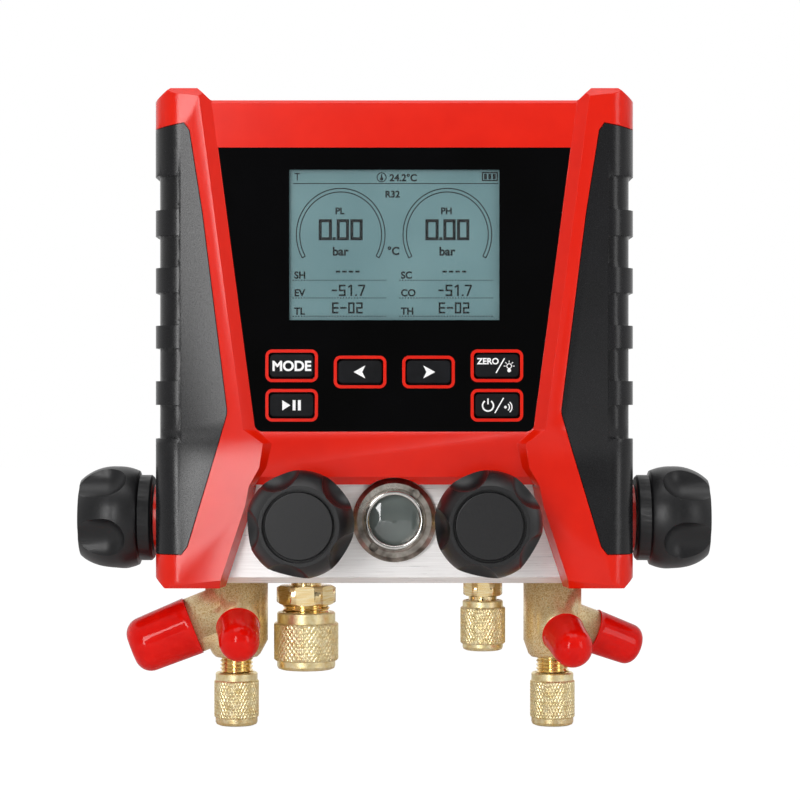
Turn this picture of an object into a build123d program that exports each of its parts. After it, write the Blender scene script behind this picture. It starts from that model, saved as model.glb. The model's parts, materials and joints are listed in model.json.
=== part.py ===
from build123d import *
import os
from math import cos, radians, sin, sqrt

# Digital refrigerant manifold gauge, in millimetres. X runs to the right, Y to the back and Z up.
# Sizes are measured from the centre of the valve block, on the axes of its four valves. The finished
# part is then moved so that its origin is the point that the hanging hook bears on.

# Housing: two shells that meet on the block's middle plane, with a raised pillar down each side.
SIDE_X = 77.4           # outer side of a pillar
RIDGE_Y = -28.0         # crest of a pillar, the foremost line of the housing
BEZEL_Y = -25.0         # face between the pillars
REAR_Y = 30.0           # back face
BEZEL_TOP_Z = 135.5
PILLAR_TOP_Z = 139.3
PILLAR_BOTTOM_Z = -21.6
CHIN_Z = 11.7           # underside of the bezel, above the block's face
CHIN_BEVEL = 2.6
CHIN_NOTCH_GAP = 0.4    # round notch in the chin, over the sight glass
BEZEL_TOP_BEVEL = 1.0
BEZEL_HALF = [(61.5, BEZEL_TOP_Z), (61.5, 110.0), (48.0, CHIN_Z)]
LEG_INNER_X = 53.5      # inner side of a leg at the back, and its bevel
LEG_BEVEL = 2.0
REAR_BAR = 4.6          # height of the bar across the back, under the block
PORT_ROOM_R = 11.0
PAST = 1.0              # how far a cut runs past the face that it opens
BEND = sqrt(0.5)
END_BEVEL = 2.8         # bevel round a pillar's top and bottom
FACET_X = 68.4          # where a pillar's face turns into its rounded side
FACE_FALL = 0.13        # slope of a pillar's face from its ridge to the side
CORNER_Y = -18.0        # where the front corner's rounding meets the side
REAR_CORNER_Y = 22.0
REAR_CORNER_X = 69.4
WALL = 2.5
FLOOR_Y = -20.5         # back of the front shell's floor, behind the panel
CAVITY_X = 68.0
CAVITY_TOP_Z = 131.0
CAVITY_LOW_Z = 22.0

# Ridge and foot of the right pillar's inner slope: height, foot x, foot y, ridge x.
PILLAR_LINE = [
    (PILLAR_TOP_Z, 59.4, BEZEL_Y, 63.0),
    (29.5, 44.8, BEZEL_Y, 48.5),
    (25.0, 39.4, BEZEL_Y, 42.1),
    (17.2, 41.2, BEZEL_Y, 43.3),
    (CHIN_Z, 44.9, BEZEL_Y, 46.4),
    (10.9, 44.9, -16.0, 46.7),
    (5.0, 46.0, -16.0, 47.8),
    (PILLAR_BOTTOM_Z, 54.8, -16.0, 56.6),
]
TOP_SHOULDER = (59.2, 63.3, 72.0, 4.1)     # pillar top: inner foot, flat from, flat to, corner drop
BOTTOM_SHOULDER = 3.4                      # corner cut at the outer lower corner

# Grips: soft covers let into the pillars' outer faces.
GRIP_T = 2.2
GRIP_GAP = 0.25
GRIP_BEND_R = 7.0       # rounding of the front edge where it is widest
GRIP_LINE = [(90.0, 126.2), (76.0, 126.5), (67.4, 128.1), (65.6, 125.6), (61.4, 99.0), (56.3, 58.2),
             (53.4, 34.9), (66.4, -8.2), (68.4, -10.8), (90.0, -10.8)]
GRIP_REAR_X = 66.5
GRIP_TOP_Z = 126.2
GRIP_LOW_Z = -10.8
WINDOW_T = 1.4
WINDOW_X = 68.7
WINDOW_REAR_Y = 20.0
WINDOWS = [(100.2, 111.1), (81.6, 91.9), (63.0, 73.6), (45.1, 55.7), (26.5, 37.4)]
WINDOW_CORNER_R = 1.2
WINDOW_FRONT_Y = -38.0  # in front of the whole pillar

# Display panel, window, and what lies behind them.
PANEL_TOP_Z = 120.1
PANEL_LOW_Z = 28.9
PANEL_TOP_X = 56.6
PANEL_LOW_X = 44.6
PANEL_Y = -24.8
PANEL_T = 2.0
PANEL_CORNER_R = 2.6
SLIP = 0.1              # clearance between parts that are laid into each other
WINDOW_W = 67.4
WINDOW_H = 48.2
WINDOW_Z = 88.9
LCD_W = 76.0
LCD_H = 57.0
LCD_T = 4.2
GLASS_LIP = 0.8         # the display glass is this much wider than the window, all round
BOARD_W = 88.0
BOARD_LOW_Z = 30.0
BOARD_TOP_Z = 121.0
BOARD_T = 1.6
BOARD_Y = FLOOR_Y + SLIP + LCD_T

# Keys: name, column x, row z.
KEYS = [
    ("button_mode", -33.0, 50.0),
    ("button_play_pause", -33.0, 37.3),
    ("button_left", -11.0, 48.0),
    ("button_right", 11.0, 48.0),
    ("button_zero_light", 33.0, 50.0),
    ("button_power", 33.0, 37.3),
]
KEY_W = 14.1
KEY_H = 7.3
KEY_CORNER_R = 1.4
KEY_PROUD = 0.9         # key face in front of the panel
KEY_TRAVEL = 0.8
KEY_FLANGE = 1.0        # rim behind the floor that holds a key in
KEY_FLANGE_T = 1.0
KEY_EDGE_R = 0.35
RING_W = 16.9
RING_H = 10.5
RING_CORNER_R = 2.2
RING_LINE = 1.0
RING_PROUD = 0.4
SWITCH_W = 6.0
SWITCH_H = 4.8
SWITCH_GAP = 0.1
DOME_R = 1.8
DOME_T = 0.6

# Valve block.
BLOCK_HALF_X = 62.7
BLOCK_HALF_Y = 16.0
BLOCK_TOP_Z = 19.5
BLOCK_LOW_Z = -20.7
BLOCK_BEVEL = 2.0
BLOCK_SLIP = 0.2
GALLERY_R = 2.5
GALLERY_Y = 8.0
SEAT_R = 2.0
CROSS_R = 1.7
SENSE_R = 1.5           # drilling from a side valve's chamber to the pressure sensor
SEAT_LAND = 4.0         # length of a side valve's seat
CROSS_INSET = 2.0
CENTRE_PORT_Y = -2.0    # how far in front of the middle the centre ports' drillings run up

# Valves: two on the front face, one on each end, all alike. Lengths run outwards from the block.
FRONT_VALVE_X = 29.5
PISTON_R = 4.5
PISTON_LONG = 8.0
PISTON_NOSE = 1.0
CHAMBER_DEEP = 20.0
STEM_R = 3.0
STEM_END = 34.0
BONNET_R = 8.0
BONNET_FLANGE = 5.0
BONNET_NOSE_R = 7.0
BONNET_NOSE = 16.5
BONNET_THREAD_R = 6.5
BONNET_DEEP = 9.0
RUN = 0.05              # radial clearance of a part that turns or slides in another
KNOB_BASE = 17.0

# Knob: a collar and a five-lobed head, with a plain disc let into its face.
KNOB_LONG = 24.0
KNOB_R = 17.0
COLLAR_R = 14.15
COLLAR_LONG = 4.3
COLLAR_BEVEL = 0.7
SHOULDER = (1.4, 0.5)   # the head's step out from the collar: across, along
KNOB_WIDEST = 12.0
KNOB_FACE_R = 12.6
RISE_IN = 0.35          # the head's side, in from its widest, half way up from the shoulder
FALL_IN = 1.0           # and half way up to the face
FALL_UP = 0.6
LOBES = 5
SCALLOP_R = 8.4
SCALLOP_AT = 20.6
SCALLOP_START = 15.6
GROOVE_R = 11.4
GROOVE_DEEP = 2.4
DISC_R = 10.6
DISC_T = 2.0
DISC_EDGE_R = 0.4
BOSS_R = 11.0
BOSS_X = 79.2
BOSS_BORE_R = 8.4

# Sight glass.
SIGHT_R = 13.6
SIGHT_PROUD = 4.0
SIGHT_BEVEL = 1.5
SIGHT_LIP_R = 9.8
SIGHT_LENS_R = 8.1
SIGHT_THREAD_R = 11.0
SIGHT_DEEP = 6.0
SIGHT_CHAMBER_R = 6.5
GASKET_T = 1.2
LENS_T = 5.0
LENS_CROWN = 0.8
SIGHT_LIP_BEVEL = 0.6
SIGHT_SINK = 1.6        # the ring's bore opens this far behind its face
SPANNER_R = 1.5
SPANNER_FLOOR = 1.0
SPANNER_AT = 10.9
SPANNER_ANGLE = 52.0

# Ports under the block. Threads are 7/16 in and 5/8 in flare threads.
OUTER_PORT_X = 52.4
CENTRE_PORT_X = 29.3
THREAD_14 = 5.55
THREAD_38 = 7.94
TOP_SPIGOT_R = 6.0
TOP_SPIGOT = 8.0
PORT_BORE_R = 2.4
FLARE_START = 1.5       # a centre port's thread starts this far inside its cap

# Outer ports: the side spigot and the front spigot each have a neck radius, the length of the neck
# from the body's axis, and the outer radius and length of the vinyl cap on it.
PORTS = [
    {"name": "low", "side": -1, "turn": 6.0, "tilt": 21.5, "drop": 9.3, "body_r": 10.4,
     "branches": [(9.3, 15.5, 9.8, 20.5), (7.0, 14.3, 7.2, 15.0)]},
    {"name": "high", "side": 1, "turn": 13.5, "tilt": 20.5, "drop": 12.0, "body_r": 9.6,
     "branches": [(7.0, 14.6, 7.4, 16.0), (7.0, 13.0, 7.2, 15.5)]},
]
BODY_LONG = 19.8
TAPER_LONG = 5.5
TAPER_R = 8.0
TAPER_EDGE = 1.0
FLARE_CONE = 0.4        # length of the flare's cone, as a part of its radius
CAP_WALL = 1.3
CAP_TAPER = 1.3
CAP_END = 2.0
CAP_ROUND = 0.45        # rounding of the closed end, as a part of its radius

# Brass caps: name, port x, thread radius, distance of the rim below the block, band radius, knurl
# radius, then the lengths of the upper band, the knurl and the lower band.
CAPS = [
    ("low", -OUTER_PORT_X, THREAD_14, 30.5, 6.95, 7.4, 2.5, 12.5, 2.5),
    ("vacuum", -CENTRE_PORT_X, THREAD_38, 10.5, 9.65, 10.7, 3.5, 12.5, 3.0),
    ("charge", CENTRE_PORT_X, THREAD_14, 6.6, 6.7, 7.45, 2.2, 12.2, 2.2),
    ("high", OUTER_PORT_X, THREAD_14, 30.5, 6.95, 7.4, 2.5, 12.5, 2.5),
]
CAP_FLOOR = 2.2
SEAL_T = 1.0
CAP_EDGE = (1.2, 1.0)   # bevel of the cap's closed end: across, along
CAP_RIM_BEVEL = 0.4
KNURL_BEVEL = 0.6
SEAL_SLIP = 0.4

HEX_BEVEL = 0.6         # slope of the bevel on a hexagon's corners

# Centre fittings: name, hexagon across flats, collar radius, collar's end, hexagon's end, neck radius.
FITTINGS = [
    ("vacuum", 17.0, 5.0, 1.7, 8.0, THREAD_38),
    ("charge", 11.2, 5.0, 0.6, 5.2, 4.7),
]

# Hook on the back, folded down at rest.
HOOK_PIVOT_Z = 126.0
HOOK_Y = 26.0
HOOK_LOOP_Z = 85.0
HOOK_LOOP_R = 15.0
HOOK_ROD_R = 2.5
HOOK_TIP = 12.0
BARREL_R = 4.0
BARREL_HALF = 20.5
PIN_R = 1.5
RECESS_HALF = 21.0
RECESS_FLOOR_Y = 21.5
RECESS_LOW_Z = 64.0
RECESS_WALL = 4.0
PIN_HOLD = 3.2          # how far the pin reaches into each wall
RECESS_BACK = 1.8

# Batteries, in a bay behind a door in the back.
CELL_R = 7.2
CELL_LONG = 49.3
NUB_R = 2.7
NUB_LONG = 1.2
CELL_GAP = 0.6
BAY_HALF_X = 51.6
BAY_LOW_Z = 24.2
BAY_TOP_Z = 54.8
BAY_FLOOR_Y = 12.3
BAY_WALL = 1.5
DOOR_T = 2.4
SCOOP_R = 4.0           # thumb groove of the door
SCOOP_W = 22.0
SCOOP_DEEP = 0.8
SCOOP_UP = 6.0

# Fasteners, sensors and probe sockets.
POST_SCREWS = [(60.0, 118.0), (60.0, 68.0)]
LEG_SCREWS = [(68.0, -15.2)]
POST_R = 4.5
WELL_R = 3.1
SCREW_SEAT_Y = 8.0
SCREW_HEAD_R = 2.8
SCREW_HEAD_T = 2.5
SCREW_R = 1.45
SCREW_LONG = 18.0
SCREW_HEX_R = 1.3
SCREW_HEX_DEEP = 1.5
BLOCK_SCREW_X = 15.0
BLOCK_SCREW_Z = 11.0
BLOCK_SCREW_R = 2.0
BLOCK_SCREW_SEAT_Y = 20.0
BLOCK_SCREW_DEEP = 8.0
BLOCK_SCREW_TIP = 1.0   # the drilling goes this much deeper than the screw
BLOCK_HEAD_R = 3.7
BLOCK_HEAD_T = 3.5
BLOCK_HEX_R = 1.7
BLOCK_HEX_DEEP = 2.0
HEAD_ROOM = 0.3
POST_EXTRA = 1.0
SENSOR_R = 7.5
SENSOR_LONG = 10.5
SENSOR_SPIGOT_R = 4.0
SENSOR_SPIGOT = 6.0
SENSOR_GAP = 0.5
SENSOR_BORE_DEEP = 2.0
SOCKET_X = 40.0
SOCKET_Y = 12.0
SOCKET_R = 4.0
SOCKET_LONG = 14.0
JACK_R = 1.8
JACK_DEEP = 12.0

BOTTOM = (Align.CENTER, Align.CENTER, Align.MIN)
ORIGIN = Pos(0, -HOOK_Y, -(HOOK_LOOP_Z - HOOK_LOOP_R + HOOK_ROD_R))


def save(name, shape):
    """Writes one named piece, moved to the part's own origin."""
    placed = ORIGIN * shape
    placed.label = name
    export_step(placed, f"parts/{name}.step")


def group(solids):
    return Compound(children=[solid for piece in solids for solid in piece.solids()])


def outline(points):
    return make_face(Polyline(*points, close=True))


def mirrored(points):
    """Closed outline from the points of its right half."""
    return outline(points + [(-x, z) for x, z in reversed(points)])


def slab(sketch, front_y, back_y):
    """A front-view sketch made solid between two depths."""
    return extrude(Plane.XZ.offset(-back_y) * sketch, back_y - front_y)


def block_of(low, high):
    """A box between two corners."""
    size = [b - a for a, b in zip(low, high)]
    return Pos(*low) * Box(*size, align=(Align.MIN, Align.MIN, Align.MIN))


def rod(plane, radius, start, end):
    """A cylinder along a plane's normal, between two distances from it."""
    return plane * Pos(0, 0, start) * Cylinder(radius, end - start, align=BOTTOM)


def turned(plane, profile):
    """A solid of revolution from (radius, distance) points, on a plane's normal."""
    return plane * revolve(Plane.XZ * outline(profile), Axis.Z)


def both_sides(right):
    return right + mirror(right, about=Plane.YZ)


# Plane on the middle of the block with its normal to the right.
ACROSS = Plane(origin=(0, 0, 0), x_dir=(0, 1, 0), z_dir=(1, 0, 0))

# Places of the valves: name, plane on the block's face with its normal outwards, angle of one lobe.
VALVES = [
    ("low", Plane(origin=(-BLOCK_HALF_X, 0, 0), x_dir=(0, -1, 0), z_dir=(-1, 0, 0)), 14.0),
    ("vacuum", Plane(origin=(-FRONT_VALVE_X, -BLOCK_HALF_Y, 0), x_dir=(1, 0, 0), z_dir=(0, -1, 0)), 5.0),
    ("charge", Plane(origin=(FRONT_VALVE_X, -BLOCK_HALF_Y, 0), x_dir=(1, 0, 0), z_dir=(0, -1, 0)), 5.0),
    ("high", Plane(origin=(BLOCK_HALF_X, 0, 0), x_dir=(0, 1, 0), z_dir=(1, 0, 0)), 26.0),
]


def pillar_section(z, foot, foot_y, ridge, inset):
    """Level cut through the front half of the right pillar, with its outside moved in by inset."""
    side = SIDE_X - inset
    facet_y = RIDGE_Y + (FACET_X - ridge) * FACE_FALL + inset
    corner = (FACET_X + (side - FACET_X) * BEND, CORNER_Y + (facet_y - CORNER_Y) * BEND)
    line = Polyline((FACET_X, facet_y), (ridge, RIDGE_Y + inset), (foot, foot_y), (foot, 0), (side, 0),
                    (side, CORNER_Y))
    arc = ThreePointArc((side, CORNER_Y), corner, (FACET_X, facet_y))
    return Pos(0, 0, z) * make_face(line + arc)


def pillar_front(inset):
    """Front half of the right pillar, full height."""
    sections = [pillar_section(z, foot, foot_y, ridge, inset) for z, foot, foot_y, ridge in PILLAR_LINE]
    return loft(sections, ruled=True)


def plan_rear(inset):
    """Level cut through the rear half of the housing."""
    side = SIDE_X - inset
    back = REAR_Y - inset
    corner_x = REAR_CORNER_X + (side - REAR_CORNER_X) * BEND
    corner_y = REAR_CORNER_Y + (back - REAR_CORNER_Y) * BEND
    right = ThreePointArc((side, REAR_CORNER_Y), (corner_x, corner_y), (REAR_CORNER_X, back))
    left = ThreePointArc((-side, REAR_CORNER_Y), (-corner_x, corner_y), (-REAR_CORNER_X, back))
    lines = Polyline((-side, REAR_CORNER_Y), (-side, 0), (side, 0), (side, REAR_CORNER_Y))
    return make_face(lines + right + left + Line((REAR_CORNER_X, back), (-REAR_CORNER_X, back)))


def rear_block(inset):
    tall = PILLAR_TOP_Z - PILLAR_BOTTOM_Z
    return extrude(Pos(0, 0, PILLAR_BOTTOM_Z) * plan_rear(inset), tall)


def front_view(low_points):
    """The housing's outline from the front; low_points close it between the legs."""
    foot, flat_from, flat_to, drop = TOP_SHOULDER
    top = [(foot, BEZEL_TOP_Z), (flat_from, PILLAR_TOP_Z), (flat_to, PILLAR_TOP_Z),
           (SIDE_X, PILLAR_TOP_Z - drop)]
    low = [(SIDE_X, PILLAR_BOTTOM_Z + BOTTOM_SHOULDER), (SIDE_X - BOTTOM_SHOULDER, PILLAR_BOTTOM_Z)]
    return mirrored(top + low + low_points)


def side_view(outer_y):
    """The housing's outline from the side, with bevels at its top and bottom edge."""
    step = END_BEVEL if outer_y > 0 else -END_BEVEL
    points = [(0, PILLAR_BOTTOM_Z), (outer_y - step, PILLAR_BOTTOM_Z), (outer_y, PILLAR_BOTTOM_Z + END_BEVEL),
              (outer_y, PILLAR_TOP_Z - END_BEVEL), (outer_y - step, PILLAR_TOP_Z), (0, PILLAR_TOP_Z)]
    return extrude(Plane.YZ * outline(points), SIDE_X, both=True)


def grip_front_region(gap):
    """Where the front half of the right grip lies, seen from the front."""
    line = outline(GRIP_LINE)
    rounded = fillet(line.vertices().sort_by(Axis.X)[0], GRIP_BEND_R)
    rounded = offset(rounded, -gap, kind=Kind.INTERSECTION) if gap else rounded
    return slab(rounded, RIDGE_Y - PAST, 0)


def grip_rear_region(gap):
    """Where its rear half lies, wrapped round the back corner."""
    return block_of((GRIP_REAR_X + gap, 0, GRIP_LOW_Z + gap), (SIDE_X + PAST, REAR_Y + PAST, GRIP_TOP_Z - gap))


def grip_layer(gap):
    """The layer of the housing that the right grip takes up."""
    front = (pillar_front(0) & grip_front_region(gap)) - pillar_front(GRIP_T)
    rear = (rear_block(0) & grip_rear_region(gap)) - rear_block(GRIP_T)
    return front + rear


def valve_ways(radius):
    """Round passages through both end walls of the housing, on the side valves' axis."""
    return both_sides(rod(ACROSS, radius, BLOCK_HALF_X - PAST, BOSS_X + PAST))


def bosses(front):
    """Half rings that stand out of the grips round the side valves."""
    ring = both_sides(rod(ACROSS, BOSS_R, SIDE_X - GRIP_T - PAST, BOSS_X))
    low_y, high_y = (-BOSS_R, 0) if front else (0, BOSS_R)
    return ring & block_of((-BOSS_X, low_y, -BOSS_R), (BOSS_X, high_y, BOSS_R))


def port_clearance():
    """Room for the outer port bodies where they pass the legs."""
    axis = Plane.XY.offset(PILLAR_BOTTOM_Z - PAST)
    room = rod(axis, PORT_ROOM_R, 0, BLOCK_LOW_Z - PILLAR_BOTTOM_Z + 2 * PAST)
    return Pos(OUTER_PORT_X, 0, 0) * room + Pos(-OUTER_PORT_X, 0, 0) * room


def block_room():
    low = (-BLOCK_HALF_X - BLOCK_SLIP, -BLOCK_HALF_Y - BLOCK_SLIP, PILLAR_BOTTOM_Z - PAST)
    high = (BLOCK_HALF_X + BLOCK_SLIP, BLOCK_HALF_Y + BLOCK_SLIP, BLOCK_TOP_Z + BLOCK_SLIP)
    return block_of(low, high)


def screw_points(points):
    return [(side * x, z) for x, z in points for side in (-1, 1)]


def back_rod(x, z, radius, front_y, back_y):
    """A cylinder along Y."""
    return slab(Pos(x, z) * Circle(radius), front_y, back_y)


def panel_outline(shrink):
    half = [(PANEL_TOP_X - shrink, PANEL_TOP_Z - shrink), (PANEL_LOW_X - shrink, PANEL_LOW_Z + shrink)]
    face = mirrored(half)
    return fillet(face.vertices().group_by(Axis.Y)[0], PANEL_CORNER_R)


def key_sketch(x, z, grow, corner):
    return Pos(x, z) * RectangleRounded(KEY_W + 2 * grow, KEY_H + 2 * grow, corner)


def ring_sketch(x, z, shrink):
    return Pos(x, z) * RectangleRounded(RING_W - 2 * shrink, RING_H - 2 * shrink, RING_CORNER_R - shrink)


def front_shell():
    bevel = BEZEL_TOP_BEVEL
    bezel_side = [(0, CHIN_Z), (BEZEL_Y + CHIN_BEVEL, CHIN_Z), (BEZEL_Y, CHIN_Z + CHIN_BEVEL),
                  (BEZEL_Y, BEZEL_TOP_Z - bevel), (BEZEL_Y + bevel, BEZEL_TOP_Z), (0, BEZEL_TOP_Z)]
    bezel = extrude(Plane.YZ * outline(bezel_side), SIDE_X, both=True)
    between = slab(mirrored(BEZEL_HALF), BEZEL_Y, 0)
    shell = both_sides(pillar_front(0)) + (bezel & between)
    shell = shell & slab(front_view([]), RIDGE_Y, 0) & side_view(RIDGE_Y)
    shell -= both_sides(grip_front_region(0) - pillar_front(GRIP_T))
    shell -= back_rod(0, 0, SIGHT_R + CHIN_NOTCH_GAP, RIDGE_Y, 0)
    # Hollow behind the panel, with the window and the keys' collars in its floor.
    shell -= block_of((-CAVITY_X, FLOOR_Y, CAVITY_LOW_Z), (CAVITY_X, 0, CAVITY_TOP_Z))
    panel_floor_y = PANEL_Y + PANEL_T
    shell -= slab(panel_outline(-SLIP), RIDGE_Y, panel_floor_y)
    lip = GLASS_LIP + SLIP
    shell -= slab(Pos(0, WINDOW_Z) * Rectangle(WINDOW_W + 2 * lip, WINDOW_H + 2 * lip), RIDGE_Y, 0)
    for _, x, z in KEYS:
        shell += slab(ring_sketch(x, z, 0), PANEL_Y - RING_PROUD, FLOOR_Y)
        shell -= slab(ring_sketch(x, z, RING_LINE), RIDGE_Y, 0)
    for x, z in screw_points(POST_SCREWS):
        shell += back_rod(x, z, POST_R, FLOOR_Y, 0)
    for x, z in screw_points(POST_SCREWS + LEG_SCREWS):
        shell -= back_rod(x, z, SCREW_R + RUN, SCREW_SEAT_Y - SCREW_LONG - PAST, 0)
    shell += bosses(True)
    return shell - block_room() - valve_ways(BOSS_BORE_R) - port_clearance()


def rear_shell():
    low_points = [(LEG_INNER_X + LEG_BEVEL, PILLAR_BOTTOM_Z), (LEG_INNER_X, PILLAR_BOTTOM_Z + LEG_BEVEL)]
    shell = rear_block(0) & slab(front_view(low_points), 0, REAR_Y) & side_view(REAR_Y)
    shell -= both_sides(grip_rear_region(0) - rear_block(GRIP_T))
    inner_y = REAR_Y - WALL
    shell -= block_of((-CAVITY_X, 0, CAVITY_LOW_Z), (CAVITY_X, inner_y, CAVITY_TOP_Z))
    shell -= block_of((-BLOCK_HALF_X, 0, PILLAR_BOTTOM_Z + REAR_BAR), (BLOCK_HALF_X, inner_y, CAVITY_LOW_Z))
    # Battery bay.
    shell += block_of((-BAY_HALF_X - BAY_WALL, BAY_FLOOR_Y - BAY_WALL, BAY_LOW_Z - BAY_WALL),
                      (BAY_HALF_X + BAY_WALL, inner_y, BAY_TOP_Z + BAY_WALL))
    shell -= block_of((-BAY_HALF_X, BAY_FLOOR_Y, BAY_LOW_Z), (BAY_HALF_X, REAR_Y + PAST, BAY_TOP_Z))
    # Recess of the hook, open at the top.
    shell += block_of((-RECESS_HALF - RECESS_WALL, RECESS_FLOOR_Y - RECESS_BACK, RECESS_LOW_Z - RECESS_BACK),
                      (RECESS_HALF + RECESS_WALL, inner_y, CAVITY_TOP_Z))
    shell -= block_of((-RECESS_HALF, RECESS_FLOOR_Y, RECESS_LOW_Z), (RECESS_HALF, REAR_Y + PAST, PILLAR_TOP_Z))
    shell -= hook_pin(RUN)
    # Screw posts with wells, and the posts that hold the block.
    for x, z in screw_points(POST_SCREWS):
        shell += back_rod(x, z, POST_R, 0, inner_y)
    for x, z in screw_points(POST_SCREWS + LEG_SCREWS):
        shell -= back_rod(x, z, WELL_R, SCREW_SEAT_Y, REAR_Y + PAST)
        shell -= back_rod(x, z, SCREW_R + 2 * RUN, 0, SCREW_SEAT_Y)
    for x, z in screw_points([(BLOCK_SCREW_X, BLOCK_SCREW_Z)]):
        shell += back_rod(x, z, POST_R + POST_EXTRA, BLOCK_HALF_Y, inner_y)
        shell -= back_rod(x, z, BLOCK_HEAD_R + HEAD_ROOM, BLOCK_SCREW_SEAT_Y, REAR_Y + PAST)
        shell -= back_rod(x, z, BLOCK_SCREW_R + RUN, BLOCK_HALF_Y, BLOCK_SCREW_SEAT_Y)
    # Probe sockets in the top edge.
    for side in (-1, 1):
        seat = Plane.XY.offset(BEZEL_TOP_Z - SOCKET_LONG)
        shell -= Pos(side * SOCKET_X, SOCKET_Y, 0) * rod(seat, SOCKET_R + RUN, 0, SOCKET_LONG + PAST)
    shell += bosses(False)
    return shell - block_room() - valve_ways(BOSS_BORE_R) - port_clearance()


def right_grip():
    grip = grip_layer(GRIP_GAP)
    skin = (pillar_front(0) + rear_block(0)) - (pillar_front(WINDOW_T) + rear_block(WINDOW_T))
    for low_z, high_z in WINDOWS:
        middle = Pos(SIDE_X + PAST, (WINDOW_FRONT_Y + WINDOW_REAR_Y) / 2, (low_z + high_z) / 2)
        box = middle * Box(2 * (SIDE_X + PAST - WINDOW_X), WINDOW_REAR_Y - WINDOW_FRONT_Y, high_z - low_z)
        box = fillet(box.edges().filter_by(Axis.Y), WINDOW_CORNER_R)
        grip -= skin & box
    return grip - rod(ACROSS, BOSS_R + GRIP_GAP, 0, SIDE_X + PAST)


def display_panel():
    panel = slab(panel_outline(0), PANEL_Y, PANEL_Y + PANEL_T)
    panel -= slab(Pos(0, WINDOW_Z) * Rectangle(WINDOW_W + 2 * SLIP, WINDOW_H + 2 * SLIP), RIDGE_Y, 0)
    for _, x, z in KEYS:
        panel -= slab(ring_sketch(x, z, -RUN), RIDGE_Y, 0)
    return panel


def display_window():
    return slab(Pos(0, WINDOW_Z) * Rectangle(WINDOW_W, WINDOW_H), PANEL_Y, PANEL_Y + PANEL_T)


def lcd_module():
    back_y = FLOOR_Y + SLIP + LCD_T
    glass = Rectangle(WINDOW_W + 2 * GLASS_LIP, WINDOW_H + 2 * GLASS_LIP)
    frame_part = slab(Pos(0, WINDOW_Z) * Rectangle(LCD_W, LCD_H), FLOOR_Y + SLIP, back_y)
    return frame_part + slab(Pos(0, WINDOW_Z) * glass, PANEL_Y + PANEL_T, FLOOR_Y + SLIP)


def circuit_board():
    half = BOARD_W / 2
    sketch = mirrored([(half, BOARD_TOP_Z), (half, BOARD_LOW_Z)])
    return slab(sketch, BOARD_Y, BOARD_Y + BOARD_T)


def key_back_y():
    """Back of a key's plunger, a little in front of its switch when it is pressed."""
    return FLOOR_Y + SLIP + KEY_FLANGE_T


def button(x, z):
    face_y = PANEL_Y - KEY_PROUD
    back_y = key_back_y()
    cap = slab(key_sketch(x, z, 0, KEY_CORNER_R), face_y, back_y)
    cap = fillet(cap.faces().sort_by(Axis.Y)[0].edges(), KEY_EDGE_R)
    return cap + slab(key_sketch(x, z, KEY_FLANGE, KEY_CORNER_R), FLOOR_Y + SLIP, back_y)


def key_switches():
    """Dome switches on the board, one behind each key."""
    front_y = key_back_y() + KEY_TRAVEL + SWITCH_GAP
    solids = []
    for _, x, z in KEYS:
        base = slab(Pos(x, z) * Rectangle(SWITCH_W, SWITCH_H), front_y + DOME_T, BOARD_Y)
        solids.append(base + back_rod(x, z, DOME_R, front_y, front_y + DOME_T))
    return group(solids)


def valve_chamber(plane):
    """What a valve takes out of the block."""
    way = rod(plane, PISTON_R + RUN, -CHAMBER_DEEP, 0)
    return way + rod(plane, BONNET_THREAD_R, -BONNET_DEEP, PAST)


def manifold_block():
    low, top, y, bevel = BLOCK_LOW_Z, BLOCK_TOP_Z, BLOCK_HALF_Y, BLOCK_BEVEL
    side = [(-y, top), (-y, low + bevel), (-y + bevel, low), (y - bevel, low), (y, low + bevel), (y, top)]
    block = extrude(Plane.YZ * outline(side), BLOCK_HALF_X, both=True)
    along = Plane(origin=(0, GALLERY_Y, 0), x_dir=(0, 1, 0), z_dir=(1, 0, 0))
    seat_x = BLOCK_HALF_X - CHAMBER_DEEP
    block -= rod(along, GALLERY_R, -seat_x, seat_x)
    for _, plane, _ in VALVES:
        block -= valve_chamber(plane)
    for side_sign in (-1, 1):
        # A side valve's seat opens to the gallery, and its chamber to the port and the sensor.
        block -= back_rod(side_sign * (seat_x - CROSS_INSET), 0, CROSS_R, 0, GALLERY_Y)
        seat = Plane(origin=(side_sign * (seat_x - SEAT_LAND), 0, 0), x_dir=(0, 1, 0), z_dir=(side_sign, 0, 0))
        block -= rod(seat, SEAT_R, 0, SEAT_LAND + PAST)
        block -= back_rod(side_sign * OUTER_PORT_X, 0, SENSE_R, 0, y)
        block -= back_rod(side_sign * OUTER_PORT_X, 0, SENSOR_SPIGOT_R, y - SENSOR_SPIGOT, y)
        block -= back_rod(side_sign * FRONT_VALVE_X, 0, SEAT_R, CHAMBER_DEEP - y, GALLERY_Y)
        block -= back_rod(side_sign * BLOCK_SCREW_X, BLOCK_SCREW_Z, BLOCK_SCREW_R, BLOCK_SCREW_DEEP, y)
        for x, depth_y in ((OUTER_PORT_X, 0), (CENTRE_PORT_X, CENTRE_PORT_Y)):
            floor = Plane(origin=(side_sign * x, depth_y, low), x_dir=(1, 0, 0), z_dir=(0, 0, 1))
            block -= rod(floor, PORT_BORE_R, 0, -low)
        for x in (OUTER_PORT_X, CENTRE_PORT_X):
            floor = Plane(origin=(side_sign * x, 0, low), x_dir=(1, 0, 0), z_dir=(0, 0, 1))
            block -= rod(floor, TOP_SPIGOT_R, -PAST, TOP_SPIGOT)
    front = Plane(origin=(0, -y, 0), x_dir=(1, 0, 0), z_dir=(0, -1, 0))
    block -= rod(front, SIGHT_THREAD_R, -SIGHT_DEEP, PAST)
    return block - rod(front, SIGHT_CHAMBER_R, -y - GALLERY_Y, 0)


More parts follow.
